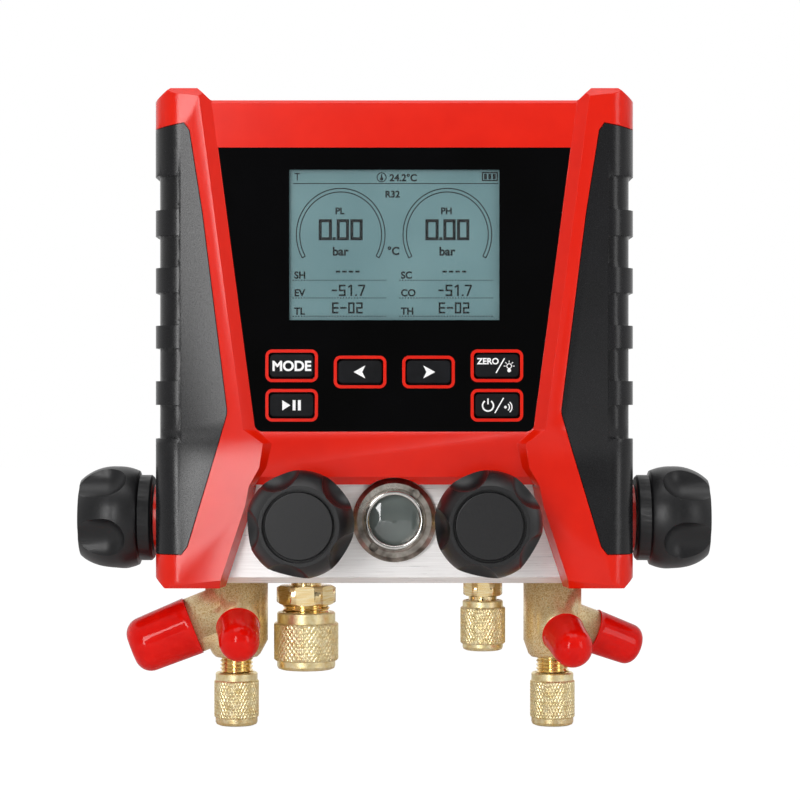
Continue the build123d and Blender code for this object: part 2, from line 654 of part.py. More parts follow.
def sight_plane():
    return Plane(origin=(0, -BLOCK_HALF_Y, 0), x_dir=(1, 0, 0), z_dir=(0, -1, 0))


def sight_glass_ring():
    edge = SIGHT_R - SIGHT_BEVEL
    profile = [(SIGHT_LENS_R + RUN, -SIGHT_DEEP + GASKET_T), (SIGHT_THREAD_R - RUN, -SIGHT_DEEP + GASKET_T),
               (SIGHT_THREAD_R - RUN, 0), (SIGHT_R, 0), (SIGHT_R, SIGHT_PROUD - SIGHT_BEVEL),
               (edge, SIGHT_PROUD), (SIGHT_LIP_R + SIGHT_LIP_BEVEL, SIGHT_PROUD),
               (SIGHT_LIP_R, SIGHT_PROUD - SIGHT_LIP_BEVEL), (SIGHT_LENS_R + RUN, SIGHT_PROUD - SIGHT_SINK)]
    ring = turned(sight_plane(), profile)
    for turn in (0, 180):
        angle = radians(SPANNER_ANGLE + turn)
        at = Pos(SPANNER_AT * cos(angle), SPANNER_AT * sin(angle), 0)
        ring -= sight_plane() * at * Pos(0, 0, SPANNER_FLOOR) * Cylinder(SPANNER_R, SIGHT_PROUD, align=BOTTOM)
    return ring


def sight_glass_gasket():
    ring = rod(sight_plane(), SIGHT_THREAD_R - RUN, -SIGHT_DEEP, -SIGHT_DEEP + GASKET_T)
    return ring - rod(sight_plane(), SIGHT_CHAMBER_R, -SIGHT_DEEP, 0)


def sight_glass_lens():
    """A thick glass, slightly domed in front, on the gasket."""
    start = -SIGHT_DEEP + GASKET_T
    ball_r = (SIGHT_LENS_R ** 2 + LENS_CROWN ** 2) / (2 * LENS_CROWN)
    glass = rod(sight_plane(), SIGHT_LENS_R, start, start + LENS_T + LENS_CROWN)
    return glass & (sight_plane() * Pos(0, 0, start + LENS_T + LENS_CROWN - ball_r) * Sphere(ball_r))


def valve_bonnet(plane):
    thread = BONNET_THREAD_R - RUN
    body = rod(plane, thread, -BONNET_DEEP, 0) + rod(plane, BONNET_R, 0, BONNET_FLANGE)
    body += rod(plane, BONNET_NOSE_R, BONNET_FLANGE, BONNET_NOSE)
    return body - rod(plane, STEM_R + RUN, -BONNET_DEEP - PAST, BONNET_NOSE + PAST)


def valve_piston(plane):
    """Piston with a coned nose that closes the seat."""
    back = -CHAMBER_DEEP + PISTON_LONG
    profile = [(0, -CHAMBER_DEEP), (PISTON_R - PISTON_NOSE, -CHAMBER_DEEP),
               (PISTON_R, -CHAMBER_DEEP + PISTON_NOSE), (PISTON_R, back), (0, back)]
    return turned(plane, profile)


def valve_stem(plane):
    return rod(plane, STEM_R, -CHAMBER_DEEP + PISTON_LONG, STEM_END)


def knob(plane, lobe_angle):
    collar = KNOB_BASE + COLLAR_LONG
    face = KNOB_BASE + KNOB_LONG
    shoulder = (COLLAR_R + SHOULDER[0], collar + SHOULDER[1])
    widest = face - KNOB_WIDEST
    low_line = Polyline((0, KNOB_BASE), (COLLAR_R - COLLAR_BEVEL, KNOB_BASE),
                        (COLLAR_R, KNOB_BASE + COLLAR_BEVEL), (COLLAR_R, collar), shoulder)
    rise = ThreePointArc(shoulder, (KNOB_R - RISE_IN, (collar + widest) / 2), (KNOB_R, widest))
    fall_middle = (KNOB_R - FALL_IN, (widest + face) / 2 + FALL_UP)
    fall = ThreePointArc((KNOB_R, widest), fall_middle, (KNOB_FACE_R, face))
    top = Polyline((KNOB_FACE_R, face), (0, face), (0, KNOB_BASE))
    head = revolve(Plane.XZ * make_face(low_line + rise + fall + top), Axis.Z)
    ball = KNOB_BASE + SCALLOP_START
    for lobe in range(LOBES):
        angle = radians(lobe_angle + 180 / LOBES + lobe * 360 / LOBES)
        at = Pos(SCALLOP_AT * cos(angle), SCALLOP_AT * sin(angle), ball)
        head -= at * Cylinder(SCALLOP_R, KNOB_LONG, align=BOTTOM) + at * Sphere(SCALLOP_R)
    groove = face - GROOVE_DEEP
    head -= Pos(0, 0, groove) * Cylinder(GROOVE_R, GROOVE_DEEP + PAST, align=BOTTOM)
    head -= Pos(0, 0, KNOB_BASE - PAST) * Cylinder(STEM_R, STEM_END - KNOB_BASE + PAST, align=BOTTOM)
    return plane * head


def knob_disc(plane):
    start = KNOB_BASE + KNOB_LONG - GROOVE_DEEP
    disc = Pos(0, 0, start) * Cylinder(DISC_R, DISC_T, align=BOTTOM)
    return plane * fillet(disc.edges().sort_by(Axis.Z)[-1], DISC_EDGE_R)


def down_plane(x):
    """Plane under the block at a port's axis, with its normal down."""
    return Plane(origin=(x, 0, BLOCK_LOW_Z), x_dir=(1, 0, 0), z_dir=(0, 0, -1))


def branch_plane(port, index):
    """Plane at the middle of a port body, with its normal along one of its two side spigots."""
    turn = radians(port["turn"])
    tilt = radians(port["tilt"])
    flat = (sin(turn), -cos(turn)) if index else (port["side"] * cos(turn), port["side"] * sin(turn))
    direction = (flat[0] * cos(tilt), flat[1] * cos(tilt), -sin(tilt))
    return Plane(origin=(port["side"] * OUTER_PORT_X, 0, BLOCK_LOW_Z - port["drop"]), z_dir=direction)


def flare(plane, radius, start, end):
    """A flare port's threaded end, coned at its mouth."""
    cone_long = radius * FLARE_CONE
    profile = [(PORT_BORE_R, start), (radius, start), (radius, end - cone_long), (radius - cone_long, end),
               (PORT_BORE_R, end)]
    return turned(plane, profile)


def port_body(port):
    plane = down_plane(port["side"] * OUTER_PORT_X)
    radius = port["body_r"]
    shoulder = BODY_LONG + TAPER_LONG
    body = rod(plane, TOP_SPIGOT_R, -TOP_SPIGOT, 0)
    body += turned(plane, [(0, 0), (radius, 0), (radius, BODY_LONG), (TAPER_R, shoulder - TAPER_EDGE),
                           (TAPER_R - TAPER_EDGE, shoulder), (0, shoulder)])
    for index, (neck_r, neck, cap_r, cap_long) in enumerate(port["branches"]):
        branch = branch_plane(port, index)
        spigot_r = cap_r - CAP_WALL - RUN
        body += rod(branch, neck_r, 0, neck) + rod(branch, spigot_r, neck, neck + cap_long - CAP_END - CAP_TAPER)
    for index, (_, neck, _, cap_long) in enumerate(port["branches"]):
        body -= rod(branch_plane(port, index), PORT_BORE_R, 0, neck + cap_long)
    body -= rod(plane, PORT_BORE_R, -TOP_SPIGOT, shoulder)
    end = cap_end(port["name"])
    return body + flare(plane, THREAD_14, shoulder, end)


def cap_row(name):
    return next(cap for cap in CAPS if cap[0] == name)


def cap_end(name):
    """Distance below the block at which the threaded end under a cap stops."""
    _, _, _, rim, _, _, band, knurl, low_band = cap_row(name)
    return rim + band + knurl + low_band - CAP_FLOOR - SEAL_T


def hexagon(plane, across_flats, start, end):
    sketch = RegularPolygon(across_flats / 2, 6, major_radius=False)
    blank = plane * Pos(0, 0, start) * extrude(sketch, end - start)
    corner = across_flats / sqrt(3)
    cut = corner - across_flats / 2
    fall = cut * HEX_BEVEL
    round_off = turned(plane, [(0, start), (corner - cut, start), (corner, start + fall), (corner, end - fall),
                               (corner - cut, end), (0, end)])
    return blank & round_off


def centre_fitting(name, across_flats, collar_r, collar, hex_end, neck_r):
    """A fitting in the block: collar, hexagon, neck, and the threaded end under its cap."""
    _, x, thread, rim, *_ = cap_row(name)
    plane = down_plane(x)
    body = rod(plane, TOP_SPIGOT_R, -TOP_SPIGOT, 0) + rod(plane, collar_r, 0, collar)
    flare_start = rim + FLARE_START
    body += hexagon(plane, across_flats, collar, hex_end) + rod(plane, neck_r, hex_end, flare_start)
    body -= rod(plane, PORT_BORE_R, -TOP_SPIGOT, flare_start)
    return body + flare(plane, thread, flare_start, cap_end(name))


def brass_cap(row):
    _, x, thread, rim, band_r, knurl_r, band, knurl, low_band = row
    plane = down_plane(x)
    knurl_start = rim + band
    knurl_end = knurl_start + knurl
    end = knurl_end + low_band
    bore = thread + RUN
    inside = end - CAP_FLOOR
    across, along = CAP_EDGE
    bevel = KNURL_BEVEL
    profile = [(0, end), (band_r - across, end), (band_r, end - along), (band_r, knurl_end),
               (knurl_r - bevel, knurl_end), (knurl_r, knurl_end - bevel), (knurl_r, knurl_start + bevel),
               (knurl_r - bevel, knurl_start), (band_r, knurl_start), (band_r, rim + CAP_RIM_BEVEL),
               (band_r - CAP_RIM_BEVEL, rim), (bore, rim), (bore, inside), (0, inside)]
    return turned(plane, profile)


def cap_seal(row):
    _, x, thread, rim, _, _, band, knurl, low_band = row
    inside = rim + band + knurl + low_band - CAP_FLOOR
    return rod(down_plane(x), thread - SEAL_SLIP, inside - SEAL_T, inside)


def vinyl_cap(port, index):
    """A moulded dust cap, tapered and rounded at its closed end, pushed over a spigot."""
    _, neck, radius, long = port["branches"][index]
    plane = branch_plane(port, index)
    tip = radius - CAP_TAPER
    end = neck + long
    round_r = tip * CAP_ROUND
    corner = round_r * (1 - BEND)
    arc = ThreePointArc((tip, end - round_r), (tip - corner, end - corner), (tip - round_r, end))
    bore = radius - CAP_WALL
    line = Polyline((tip - round_r, end), (0, end), (0, end - CAP_END), (bore - CAP_TAPER, end - CAP_END),
                    (bore, end - CAP_END - CAP_TAPER), (bore, neck), (radius, neck), (tip, end - round_r))
    return plane * revolve(Plane.XZ * make_face(line + arc), Axis.Z)


def hook_axis(radius, half_long):
    """A cylinder on the hook's pivot."""
    return Pos(0, HOOK_Y, HOOK_PIVOT_Z) * rod(ACROSS, radius, -half_long, half_long)


def hook():
    """J-shaped hook on a barrel, folded down into its recess."""
    x = HOOK_LOOP_R
    path = Line((x, HOOK_Y, HOOK_PIVOT_Z), (x, HOOK_Y, HOOK_LOOP_Z))
    path += ThreePointArc((x, HOOK_Y, HOOK_LOOP_Z), (0, HOOK_Y, HOOK_LOOP_Z - x), (-x, HOOK_Y, HOOK_LOOP_Z))
    path += Line((-x, HOOK_Y, HOOK_LOOP_Z), (-x, HOOK_Y, HOOK_LOOP_Z + HOOK_TIP))
    start = Plane(origin=(x, HOOK_Y, HOOK_PIVOT_Z), z_dir=(0, 0, -1))
    bent = sweep(start * Circle(HOOK_ROD_R), path=path)
    bent += Pos(-x, HOOK_Y, HOOK_LOOP_Z + HOOK_TIP) * Sphere(HOOK_ROD_R)
    bent += hook_axis(BARREL_R, BARREL_HALF)
    return bent - hook_axis(PIN_R + RUN, BARREL_HALF)


def hook_pin(grow):
    return hook_axis(PIN_R + grow, RECESS_HALF + PIN_HOLD)


def battery_cells():
    cells = []
    spacing = (BAY_TOP_Z - BAY_LOW_Z) / 2
    for row in (0, 1):
        z = BAY_LOW_Z + spacing * (row + 0.5)
        for side in (-1, 1):
            turn = 0 if (row + (side > 0)) % 2 else 180
            middle = side * (CELL_LONG + NUB_LONG + CELL_GAP) / 2
            half = (CELL_LONG + NUB_LONG) / 2
            cell = rod(ACROSS, CELL_R, -half, half - NUB_LONG) + rod(ACROSS, NUB_R, half - NUB_LONG, half)
            cells.append(Pos(middle, BAY_FLOOR_Y + CELL_R, z) * Rot(0, turn, 0) * cell)
    return group(cells)


def battery_door():
    half = BAY_HALF_X - SLIP
    sketch = Pos(0, (BAY_LOW_Z + BAY_TOP_Z) / 2) * Rectangle(2 * half, BAY_TOP_Z - BAY_LOW_Z - 2 * SLIP)
    door = slab(sketch, REAR_Y - DOOR_T, REAR_Y)
    scoop = Pos(0, REAR_Y + SCOOP_R - SCOOP_DEEP, BAY_LOW_Z + SCOOP_UP) * Rot(0, 90, 0)
    scoop *= Cylinder(SCOOP_R, SCOOP_W)
    return door - scoop


def hex_socket(x, z, radius, head_y, deep):
    return slab(Pos(x, z) * RegularPolygon(radius, 6), head_y - deep, head_y)


def housing_screws():
    screws = []
    for x, z in screw_points(POST_SCREWS + LEG_SCREWS):
        tip = SCREW_SEAT_Y - SCREW_LONG
        screw = back_rod(x, z, SCREW_R, tip, SCREW_SEAT_Y)
        screw += back_rod(x, z, SCREW_HEAD_R, SCREW_SEAT_Y, SCREW_SEAT_Y + SCREW_HEAD_T)
        screws.append(screw - hex_socket(x, z, SCREW_HEX_R, SCREW_SEAT_Y + SCREW_HEAD_T, SCREW_HEX_DEEP))
    return group(screws)


def block_screws():
    screws = []
    for x, z in screw_points([(BLOCK_SCREW_X, BLOCK_SCREW_Z)]):
        head_y = BLOCK_SCREW_SEAT_Y + BLOCK_HEAD_T
        head = back_rod(x, z, BLOCK_HEAD_R, BLOCK_SCREW_SEAT_Y, head_y)
        head -= hex_socket(x, z, BLOCK_HEX_R, head_y, BLOCK_HEX_DEEP)
        tip = BLOCK_SCREW_DEEP + BLOCK_SCREW_TIP
        screws.append(head + back_rod(x, z, BLOCK_SCREW_R - RUN, tip, BLOCK_SCREW_SEAT_Y))
    return group(screws)


def pressure_sensors():
    solids = []
    for side in (-1, 1):
        x = side * OUTER_PORT_X
        can = back_rod(x, 0, SENSOR_R, BLOCK_HALF_Y, BLOCK_HALF_Y + SENSOR_LONG)
        can += back_rod(x, 0, SENSOR_SPIGOT_R, BLOCK_HALF_Y - SENSOR_SPIGOT + SENSOR_GAP, BLOCK_HALF_Y)
        bore = back_rod(x, 0, SENSE_R, BLOCK_HALF_Y - SENSOR_SPIGOT, BLOCK_HALF_Y + SENSOR_BORE_DEEP)
        solids.append(can - bore)
    return group(solids)


def probe_sockets():
    solids = []
    for side in (-1, 1):
        seat = Plane(origin=(side * SOCKET_X, SOCKET_Y, BEZEL_TOP_Z), x_dir=(1, 0, 0), z_dir=(0, 0, -1))
        solids.append(rod(seat, SOCKET_R, 0, SOCKET_LONG) - rod(seat, JACK_R, 0, JACK_DEEP))
    return group(solids)


def build():
    os.makedirs("parts", exist_ok=True)
    save("front_shell", front_shell())
    save("rear_shell", rear_shell())
    grip = right_grip()
    save("right_grip", grip)
    save("left_grip", mirror(grip, about=Plane.YZ))
    save("display_panel", display_panel())
    save("display_window", display_window())
    save("lcd_module", lcd_module())
    save("circuit_board", circuit_board())
    save("key_switches", key_switches())
    for name, x, z in KEYS:
        save(name, button(x, z))
    save("manifold_block", manifold_block())
    save("sight_glass_ring", sight_glass_ring())
    save("sight_glass_gasket", sight_glass_gasket())
    save("sight_glass_lens", sight_glass_lens())
    save("valve_bonnets", group([valve_bonnet(plane) for _, plane, _ in VALVES]))
    for name, plane, angle in VALVES:
        save(f"{name}_piston", valve_piston(plane))
        save(f"{name}_stem", valve_stem(plane))
        save(f"{name}_knob", knob(plane, angle))
        save(f"{name}_knob_disc", knob_disc(plane))
    for port in PORTS:
        save(f"{port['name']}_port_body", port_body(port))
        save(f"{port['name']}_side_dust_cap", vinyl_cap(port, 0))
        save(f"{port['name']}_front_dust_cap", vinyl_cap(port, 1))
    for row in FITTINGS:
        save(f"{row[0]}_fitting", centre_fitting(*row))
    for row in CAPS:
        save(f"{row[0]}_brass_cap", brass_cap(row))
        save(f"{row[0]}_cap_seal", cap_seal(row))
    save("hook", hook())
    save("hook_pin", hook_pin(0))
    save("battery_cells", battery_cells())
    save("battery_door", battery_door())
    save("housing_screws", housing_screws())
    save("block_screws", block_screws())
    save("pressure_sensors", pressure_sensors())
    save("probe_sockets", probe_sockets())


build()
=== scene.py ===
"""Looks of a digital refrigerant manifold gauge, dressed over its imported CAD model."""
import json
from functools import cache
from math import cos, pi, radians, sin, tau

import bmesh
import bpy
from bpy.props import FloatProperty, FloatVectorProperty, IntProperty, PointerProperty
from mathutils import Matrix, Vector


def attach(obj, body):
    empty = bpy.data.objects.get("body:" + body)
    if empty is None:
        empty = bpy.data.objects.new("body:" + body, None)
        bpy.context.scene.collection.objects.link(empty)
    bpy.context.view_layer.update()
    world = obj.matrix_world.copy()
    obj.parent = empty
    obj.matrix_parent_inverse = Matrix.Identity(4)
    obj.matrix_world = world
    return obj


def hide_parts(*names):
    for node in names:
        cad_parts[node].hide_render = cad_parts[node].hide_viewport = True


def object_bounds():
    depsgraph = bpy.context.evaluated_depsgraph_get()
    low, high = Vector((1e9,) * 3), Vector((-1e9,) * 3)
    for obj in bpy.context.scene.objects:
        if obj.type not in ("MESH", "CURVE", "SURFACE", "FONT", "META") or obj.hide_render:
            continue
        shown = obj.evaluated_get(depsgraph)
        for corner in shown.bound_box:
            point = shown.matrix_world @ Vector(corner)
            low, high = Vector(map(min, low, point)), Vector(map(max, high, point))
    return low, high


bl_info = {
    "name": "Manifold gauge",
    "version": (1, 0, 0),
    "blender": (4, 5, 0),
    "location": "3D View > Sidebar > Gauge",
    "description": "Builds the finishes, knurls, threads and display of a refrigerant manifold gauge",
    "category": "Object",
}

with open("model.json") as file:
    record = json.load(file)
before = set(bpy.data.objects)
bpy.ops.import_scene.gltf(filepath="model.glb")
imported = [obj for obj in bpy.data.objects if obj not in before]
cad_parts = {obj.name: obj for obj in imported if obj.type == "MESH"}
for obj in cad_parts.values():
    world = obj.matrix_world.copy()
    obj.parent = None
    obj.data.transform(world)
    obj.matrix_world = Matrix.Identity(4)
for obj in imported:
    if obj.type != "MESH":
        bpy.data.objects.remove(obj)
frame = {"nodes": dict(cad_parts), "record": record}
CAD_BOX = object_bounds()
NODES = frame["nodes"]
RECORD = frame["record"]
BODY_OF = {node: body for body, members in RECORD["behaviour"]["bodies"].items() for node in members}
SLOT_OF = {entry["node"]: entry["material_slot"] for entry in RECORD["subparts"]}
MM = 0.001
# Points nearer than these, in metres, are one: in a mesh made here, and in a CAD node's.
SAME_POINT = 1e-7
SAME_CAD_POINT = 2e-6

# The tool's own measures, in millimetres from the middle of the valve block, as the CAD states them.
ORIGIN = Vector((0.0, -26.0, -72.5))
BLOCK_LOW_Z = -20.7
BLOCK_FACE_Y = -16.0
BLOCK_EDGE = 0.25
KNOB_EDGE = 0.3
PANEL_Y = -24.8
LCD_FACE_Y = -22.8
COVER_GAP = 0.8
INK_LIFT = 0.06
WINDOW_Z = 88.9
WINDOW_HALF = (33.7, 24.1)
KEY_FACE_Y = -25.7
SIGN_LIFT = 0.02
KEYS = {
    "button_mode": (-33.0, 50.0), "button_play_pause": (-33.0, 37.3), "button_left": (-11.0, 48.0),
    "button_right": (11.0, 48.0), "button_zero_light": (33.0, 50.0), "button_power": (33.0, 37.3),
}
# Rim of the sight glass: how far the ring stands out of the block, then the bead's radius, its
# height over the ring, and half its width and height.
RING_RISE = 2.4
RIM = (8.95, 0.55, 0.85, 0.75)
# Ports: x, thread's crest radius, pitch, where the bare thread starts and ends below the block.
PORTS = {
    "low_port_body": (-52.4, 5.55, 1.27, 25.3, 44.8),
    "high_port_body": (52.4, 5.55, 1.27, 25.3, 44.8),
    "vacuum_fitting": (-29.3, 7.94, 1.411, 8.0, 26.3),
    "charge_fitting": (29.3, 5.55, 1.27, 8.1, 20.0),
}
PORT_BORE = 2.4
CONE_SHARE = 0.4
ROWS_IN_A_GROOVE = 8
# Caps: x, thread radius, rim's distance below the block, band radius, knurl radius, lengths of the
# upper band, the knurl and the lower band, diamonds around.
CAPS = {
    "low_brass_cap": (-52.4, 5.55, 30.5, 6.95, 7.4, 2.5, 12.5, 2.5, 40),
    "vacuum_brass_cap": (-29.3, 7.94, 10.5, 9.65, 10.7, 3.5, 12.5, 3.0, 42),
    "charge_brass_cap": (29.3, 5.55, 6.6, 6.7, 7.45, 2.2, 12.2, 2.2, 40),
    "high_brass_cap": (52.4, 5.55, 30.5, 6.95, 7.4, 2.5, 12.5, 2.5, 40),
}
CAP_FLOOR = 2.2
KNURL_CHAMFER = 0.45
# Dust caps: port x, how far below the block the port's middle is, turn and tilt of the spigot in
# degrees, side, whether it is the front spigot, start, radius and length of the cap.
DUST_CAPS = {
    "low_side_dust_cap": (-52.4, 9.3, 6.0, 21.5, -1, False, 15.5, 9.8, 21.7),
    "low_front_dust_cap": (-52.4, 9.3, 6.0, 21.5, -1, True, 14.3, 7.2, 16.2),
    "high_side_dust_cap": (52.4, 12.0, 13.5, 20.5, 1, False, 14.6, 7.4, 17.2),
    "high_front_dust_cap": (52.4, 12.0, 13.5, 20.5, 1, True, 13.0, 7.2, 16.7),
}
VINYL_WALL = 1.3
# Hook: half its width, how far behind the block's middle it lies, the heights of its pin, of its
# loop's middle and of its tip, and the wire's radius.
HOOK_HALF = 15
HOOK_Y = 26
HOOK_PIN_Z = 126
HOOK_LOOP_Z = 85
HOOK_TIP_Z = 97
WIRE_RADIUS = 2.5

# Stage: softboxes by place and size in metres, and by their share of a power in the settings.
SOFTBOXES = {
    "softbox_left": ((-0.36, -1.1, 0.1), (0.22, 0.8), "side_light", 1.0),
    "softbox_right": ((0.95, -0.85, 0.1), (0.3, 0.9), "side_light", 0.4),
    "softbox_top": ((0.0, -0.25, 0.95), (1.0, 0.7), "top_light", 1.0),
}
SOFTBOX_AIM = (0, -0.026, -0.04)
CAMERA_PLACE = (1.83, -800.0, 39.0)
CAMERA_LENS = 108.45
CAMERA_SENSOR = 36.0
FLOOR_GAP = 0.0005
FLOOR_GLOW = 1.1
FLOOR_GLOW_SHARE = 0.88
WORLD_FILL = 0.44


def linear(code):
    """An sRGB hex colour as linear RGBA."""
    parts = [int(code[i:i + 2], 16) / 255 for i in (1, 3, 5)]
    return [c / 12.92 if c <= 0.04045 else ((c + 0.055) / 1.055) ** 2.4 for c in parts] + [1.0]


def at(x, y, z):
    """A place given in millimetres from the block's middle, in the frame's metres."""
    return (Vector((x, y, z)) + ORIGIN) * MM


# Materials

def add_node(tree, kind, inputs=None, **settings):
    """Adds a node, with its settings, and its inputs as values or as sockets to link from."""
    made = tree.nodes.new(kind)
    for key, value in settings.items():
        setattr(made, key, value)
    for key, value in (inputs or {}).items():
        if isinstance(value, bpy.types.NodeSocket):
            tree.links.new(value, made.inputs[key])
        else:
            made.inputs[key].default_value = value
    return made


def finish(name, **sockets):
    """A new material with one Principled shader, and the shader's own values."""
    look = bpy.data.materials.new(name)
    look.use_nodes = True
    tree = look.node_tree
    tree.nodes.clear()
    values = {key.replace("_", " "): value for key, value in sockets.items()}
    shader = add_node(tree, "ShaderNodeBsdfPrincipled", values)
    add_node(tree, "ShaderNodeOutputMaterial", {"Surface": shader.outputs[0]})
    return look


def feed(look, socket, value):
    """Links a value to an input of a material's shader."""
    tree = look.node_tree
    tree.links.new(value, tree.nodes["Principled BSDF"].inputs[socket])


def grain(look, size_mm, stretch=(1, 1, 1), detail=2.0):
    """Noise fixed to the piece, with grains of about size_mm."""
    tree = look.node_tree
    place = add_node(tree, "ShaderNodeTexCoord")
    scale = [s / (size_mm * MM) for s in stretch]
    mapped = add_node(tree, "ShaderNodeMapping", {"Vector": place.outputs["Object"], "Scale": scale})
    return add_node(tree, "ShaderNodeTexNoise",
                    {"Vector": mapped.outputs[0], "Scale": 1.0, "Detail": detail}).outputs[0]


def spread(look, value, low, high):
    """A noise value, which seldom leaves 0.3 to 0.7, stretched to run from low to high."""
    ends = {0: value, 1: 0.3, 2: 0.7, 3: low, 4: high}
    return add_node(look.node_tree, "ShaderNodeMapRange", ends).outputs[0]


def tinted(look, value, dark, light):
    """Base colour between two hex colours."""
    share = spread(look, value, 0.0, 1.0)
    mixed = add_node(look.node_tree, "ShaderNodeMix", {0: share, 6: linear(dark), 7: linear(light)},
                     data_type="RGBA")
    feed(look, "Base Color", mixed.outputs[2])


def relief(look, value, depth_mm, strength):
    """Bumps the shading by a value, up to a depth in millimetres."""
    bump = add_node(look.node_tree, "ShaderNodeBump",
                    {"Height": value, "Distance": depth_mm * MM, "Strength": strength})
    feed(look, "Normal", bump.outputs[0])


def roughened(look, value, low, high):
    """Roughness between two values."""
    feed(look, "Roughness", spread(look, value, low, high))


def red_abs():
    # Injection-moulded ABS: an even, strong red with a satin spark-eroded grain, so its lights are broad.
    look = finish("ABS moulded red satin", IOR=1.54, Specular_IOR_Level=0.3)
    tinted(look, grain(look, 9.0), "#DC1800", "#E21C02")
    fine = grain(look, 0.35, detail=1.0)
    roughened(look, fine, 0.17, 0.23)
    relief(look, fine, 0.008, 0.4)
    return look


def grip_rubber():
    # Overmoulded thermoplastic rubber: near black, with a soft wide sheen from handling.
    look = finish("TPE rubber overmoulded black", IOR=1.5, Specular_IOR_Level=0.42)
    tinted(look, grain(look, 14.0), "#0B0B0D", "#101013")
    fine = grain(look, 0.3, detail=1.0)
    roughened(look, fine, 0.24, 0.30)
    relief(look, fine, 0.005, 0.25)
    return look


def panel_black():
    # Cast acrylic front, printed black on its back: a deep even black under a flat polish.
    look = finish("Acrylic sheet back-printed black", IOR=1.49, Specular_IOR_Level=0.12)
    tinted(look, grain(look, 30.0), "#000000", "#020203")
    roughened(look, grain(look, 6.0), 0.05, 0.09)
    return look


def window_clear():
    # Clear acrylic window: only its polish shows over the display.
    look = finish("Acrylic sheet clear", Alpha=0.02, IOR=1.49, Specular_IOR_Level=0.3)
    tinted(look, grain(look, 30.0), "#E8F0F0", "#F4FAFA")
    roughened(look, grain(look, 8.0), 0.03, 0.06)
    return look


def lcd_glass():
    # Reflective liquid crystal: grey-green film with a faint cloudiness from the polariser.
    look = finish("LCD film grey-green", IOR=1.5, Specular_IOR_Level=0.2, Roughness=0.45)
    tinted(look, grain(look, 26.0, detail=3.0), "#587B80", "#65888C")
    return look


def lcd_ink():
    # Switched-on crystal: blue-black, slightly soft.
    look = finish("LCD switched dark", Roughness=0.5, Specular_IOR_Level=0.05)
    tinted(look, grain(look, 5.0), "#040A0C", "#0A1417")
    return look


def key_silicone():
    # Moulded silicone keycap with a satin skin.
    look = finish("Silicone keycap black", IOR=1.43, Specular_IOR_Level=0.12)
    tinted(look, grain(look, 6.0), "#0F1012", "#16171A")
    fine = grain(look, 0.25, detail=1.0)
    roughened(look, fine, 0.42, 0.55)
    relief(look, fine, 0.008, 0.4)
    return look


def print_white():
    # Screen-printed ink, opaque and slightly uneven in thickness.
    look = finish("Ink screen-printed white", Roughness=0.5)
    tinted(look, grain(look, 0.8), "#EDEDED", "#FBFBFB")
    return look


def brushed_aluminium():
    # Extruded aluminium brushed along its length: bright, with long fine scratches that stretch lights.
    look = finish("Aluminium brushed", Metallic=0.45, Anisotropic=0.4)
    long_scratch = grain(look, 0.35, stretch=(0.02, 1, 1), detail=3.0)
    tinted(look, long_scratch, "#E4E2E1", "#F6F5F4")
    roughened(look, long_scratch, 0.26, 0.42)
    relief(look, long_scratch, 0.015, 0.6)
    return look


def nickel_ring():
    # Plated spanner ring, handled and stained: satin grey with dark blotches.
    look = finish("Nickel plate satin stained", Metallic=1.0)
    stain = grain(look, 5.0, detail=6.0)
    tinted(look, stain, "#57514B", "#B5AFA6")
    roughened(look, stain, 0.42, 0.22)
    relief(look, grain(look, 0.5, detail=3.0), 0.02, 0.6)
    return look


def polished_rim():
    # Rolled-in edge of the sight glass, worn bright.
    look = finish("Nickel plate polished", Metallic=1.0)
    wear = grain(look, 2.0, detail=4.0)
    tinted(look, wear, "#BDBBB6", "#E6E5E1")
    roughened(look, wear, 0.1, 0.2)
    return look


def sight_glass():
    # Thick pressed glass over a dark chamber: grey-green, with a sharp polish.
    look = finish("Soda-lime glass polished", IOR=1.52, Roughness=0.04,
                  Transmission_Weight=0.35, Coat_Weight=0.6, Coat_Roughness=0.02)
    tinted(look, grain(look, 12.0, stretch=(0.4, 1, 1)), "#6C7673", "#8A9591")
    return look


def cast_brass():
    # Forged brass body, shot-blasted: a pale gold skin of fine pits that sparkle.
    look = finish("Brass forged and shot-blasted", Metallic=0.72)
    pits = grain(look, 0.48, detail=3.0)
    tinted(look, pits, "#C8A05C", "#FFF0C4")
    roughened(look, pits, 0.42, 0.26)
    relief(look, pits, 0.07, 0.9)
    return look


def turned_brass():
    # Bright turned brass: deep gold with the lathe's fine rings.
    look = finish("Brass turned bright", Metallic=1.0)
    rings = grain(look, 0.3, stretch=(0.05, 0.05, 1))
    tinted(look, rings, "#E6C27C", "#FBEBC0")
    roughened(look, rings, 0.10, 0.2)
    relief(look, rings, 0.006, 0.5)
    return look


def knurled_brass():
    # Knurled brass cap: pale yellow, its rolled diamonds slightly dull.
    look = finish("Brass knurled pale", Metallic=1.0)
    wear = grain(look, 1.4, detail=4.0)
    tinted(look, wear, "#E2CC90", "#F6EBC2")
    roughened(look, wear, 0.3, 0.4)
    relief(look, grain(look, 0.25), 0.01, 0.5)
    return look


def dipped_vinyl():
    # Dip-moulded PVC: saturated glossy red, gently wavy.
    look = finish("PVC dip-moulded red", IOR=1.54, Specular_IOR_Level=0.02,
                  Coat_Weight=0.35, Coat_Roughness=0.02)
    wave = grain(look, 4.0, detail=3.0)
    tinted(look, wave, "#D80C04", "#E61408")
    roughened(look, wave, 0.2, 0.3)
    relief(look, wave, 0.12, 0.5)
    return look


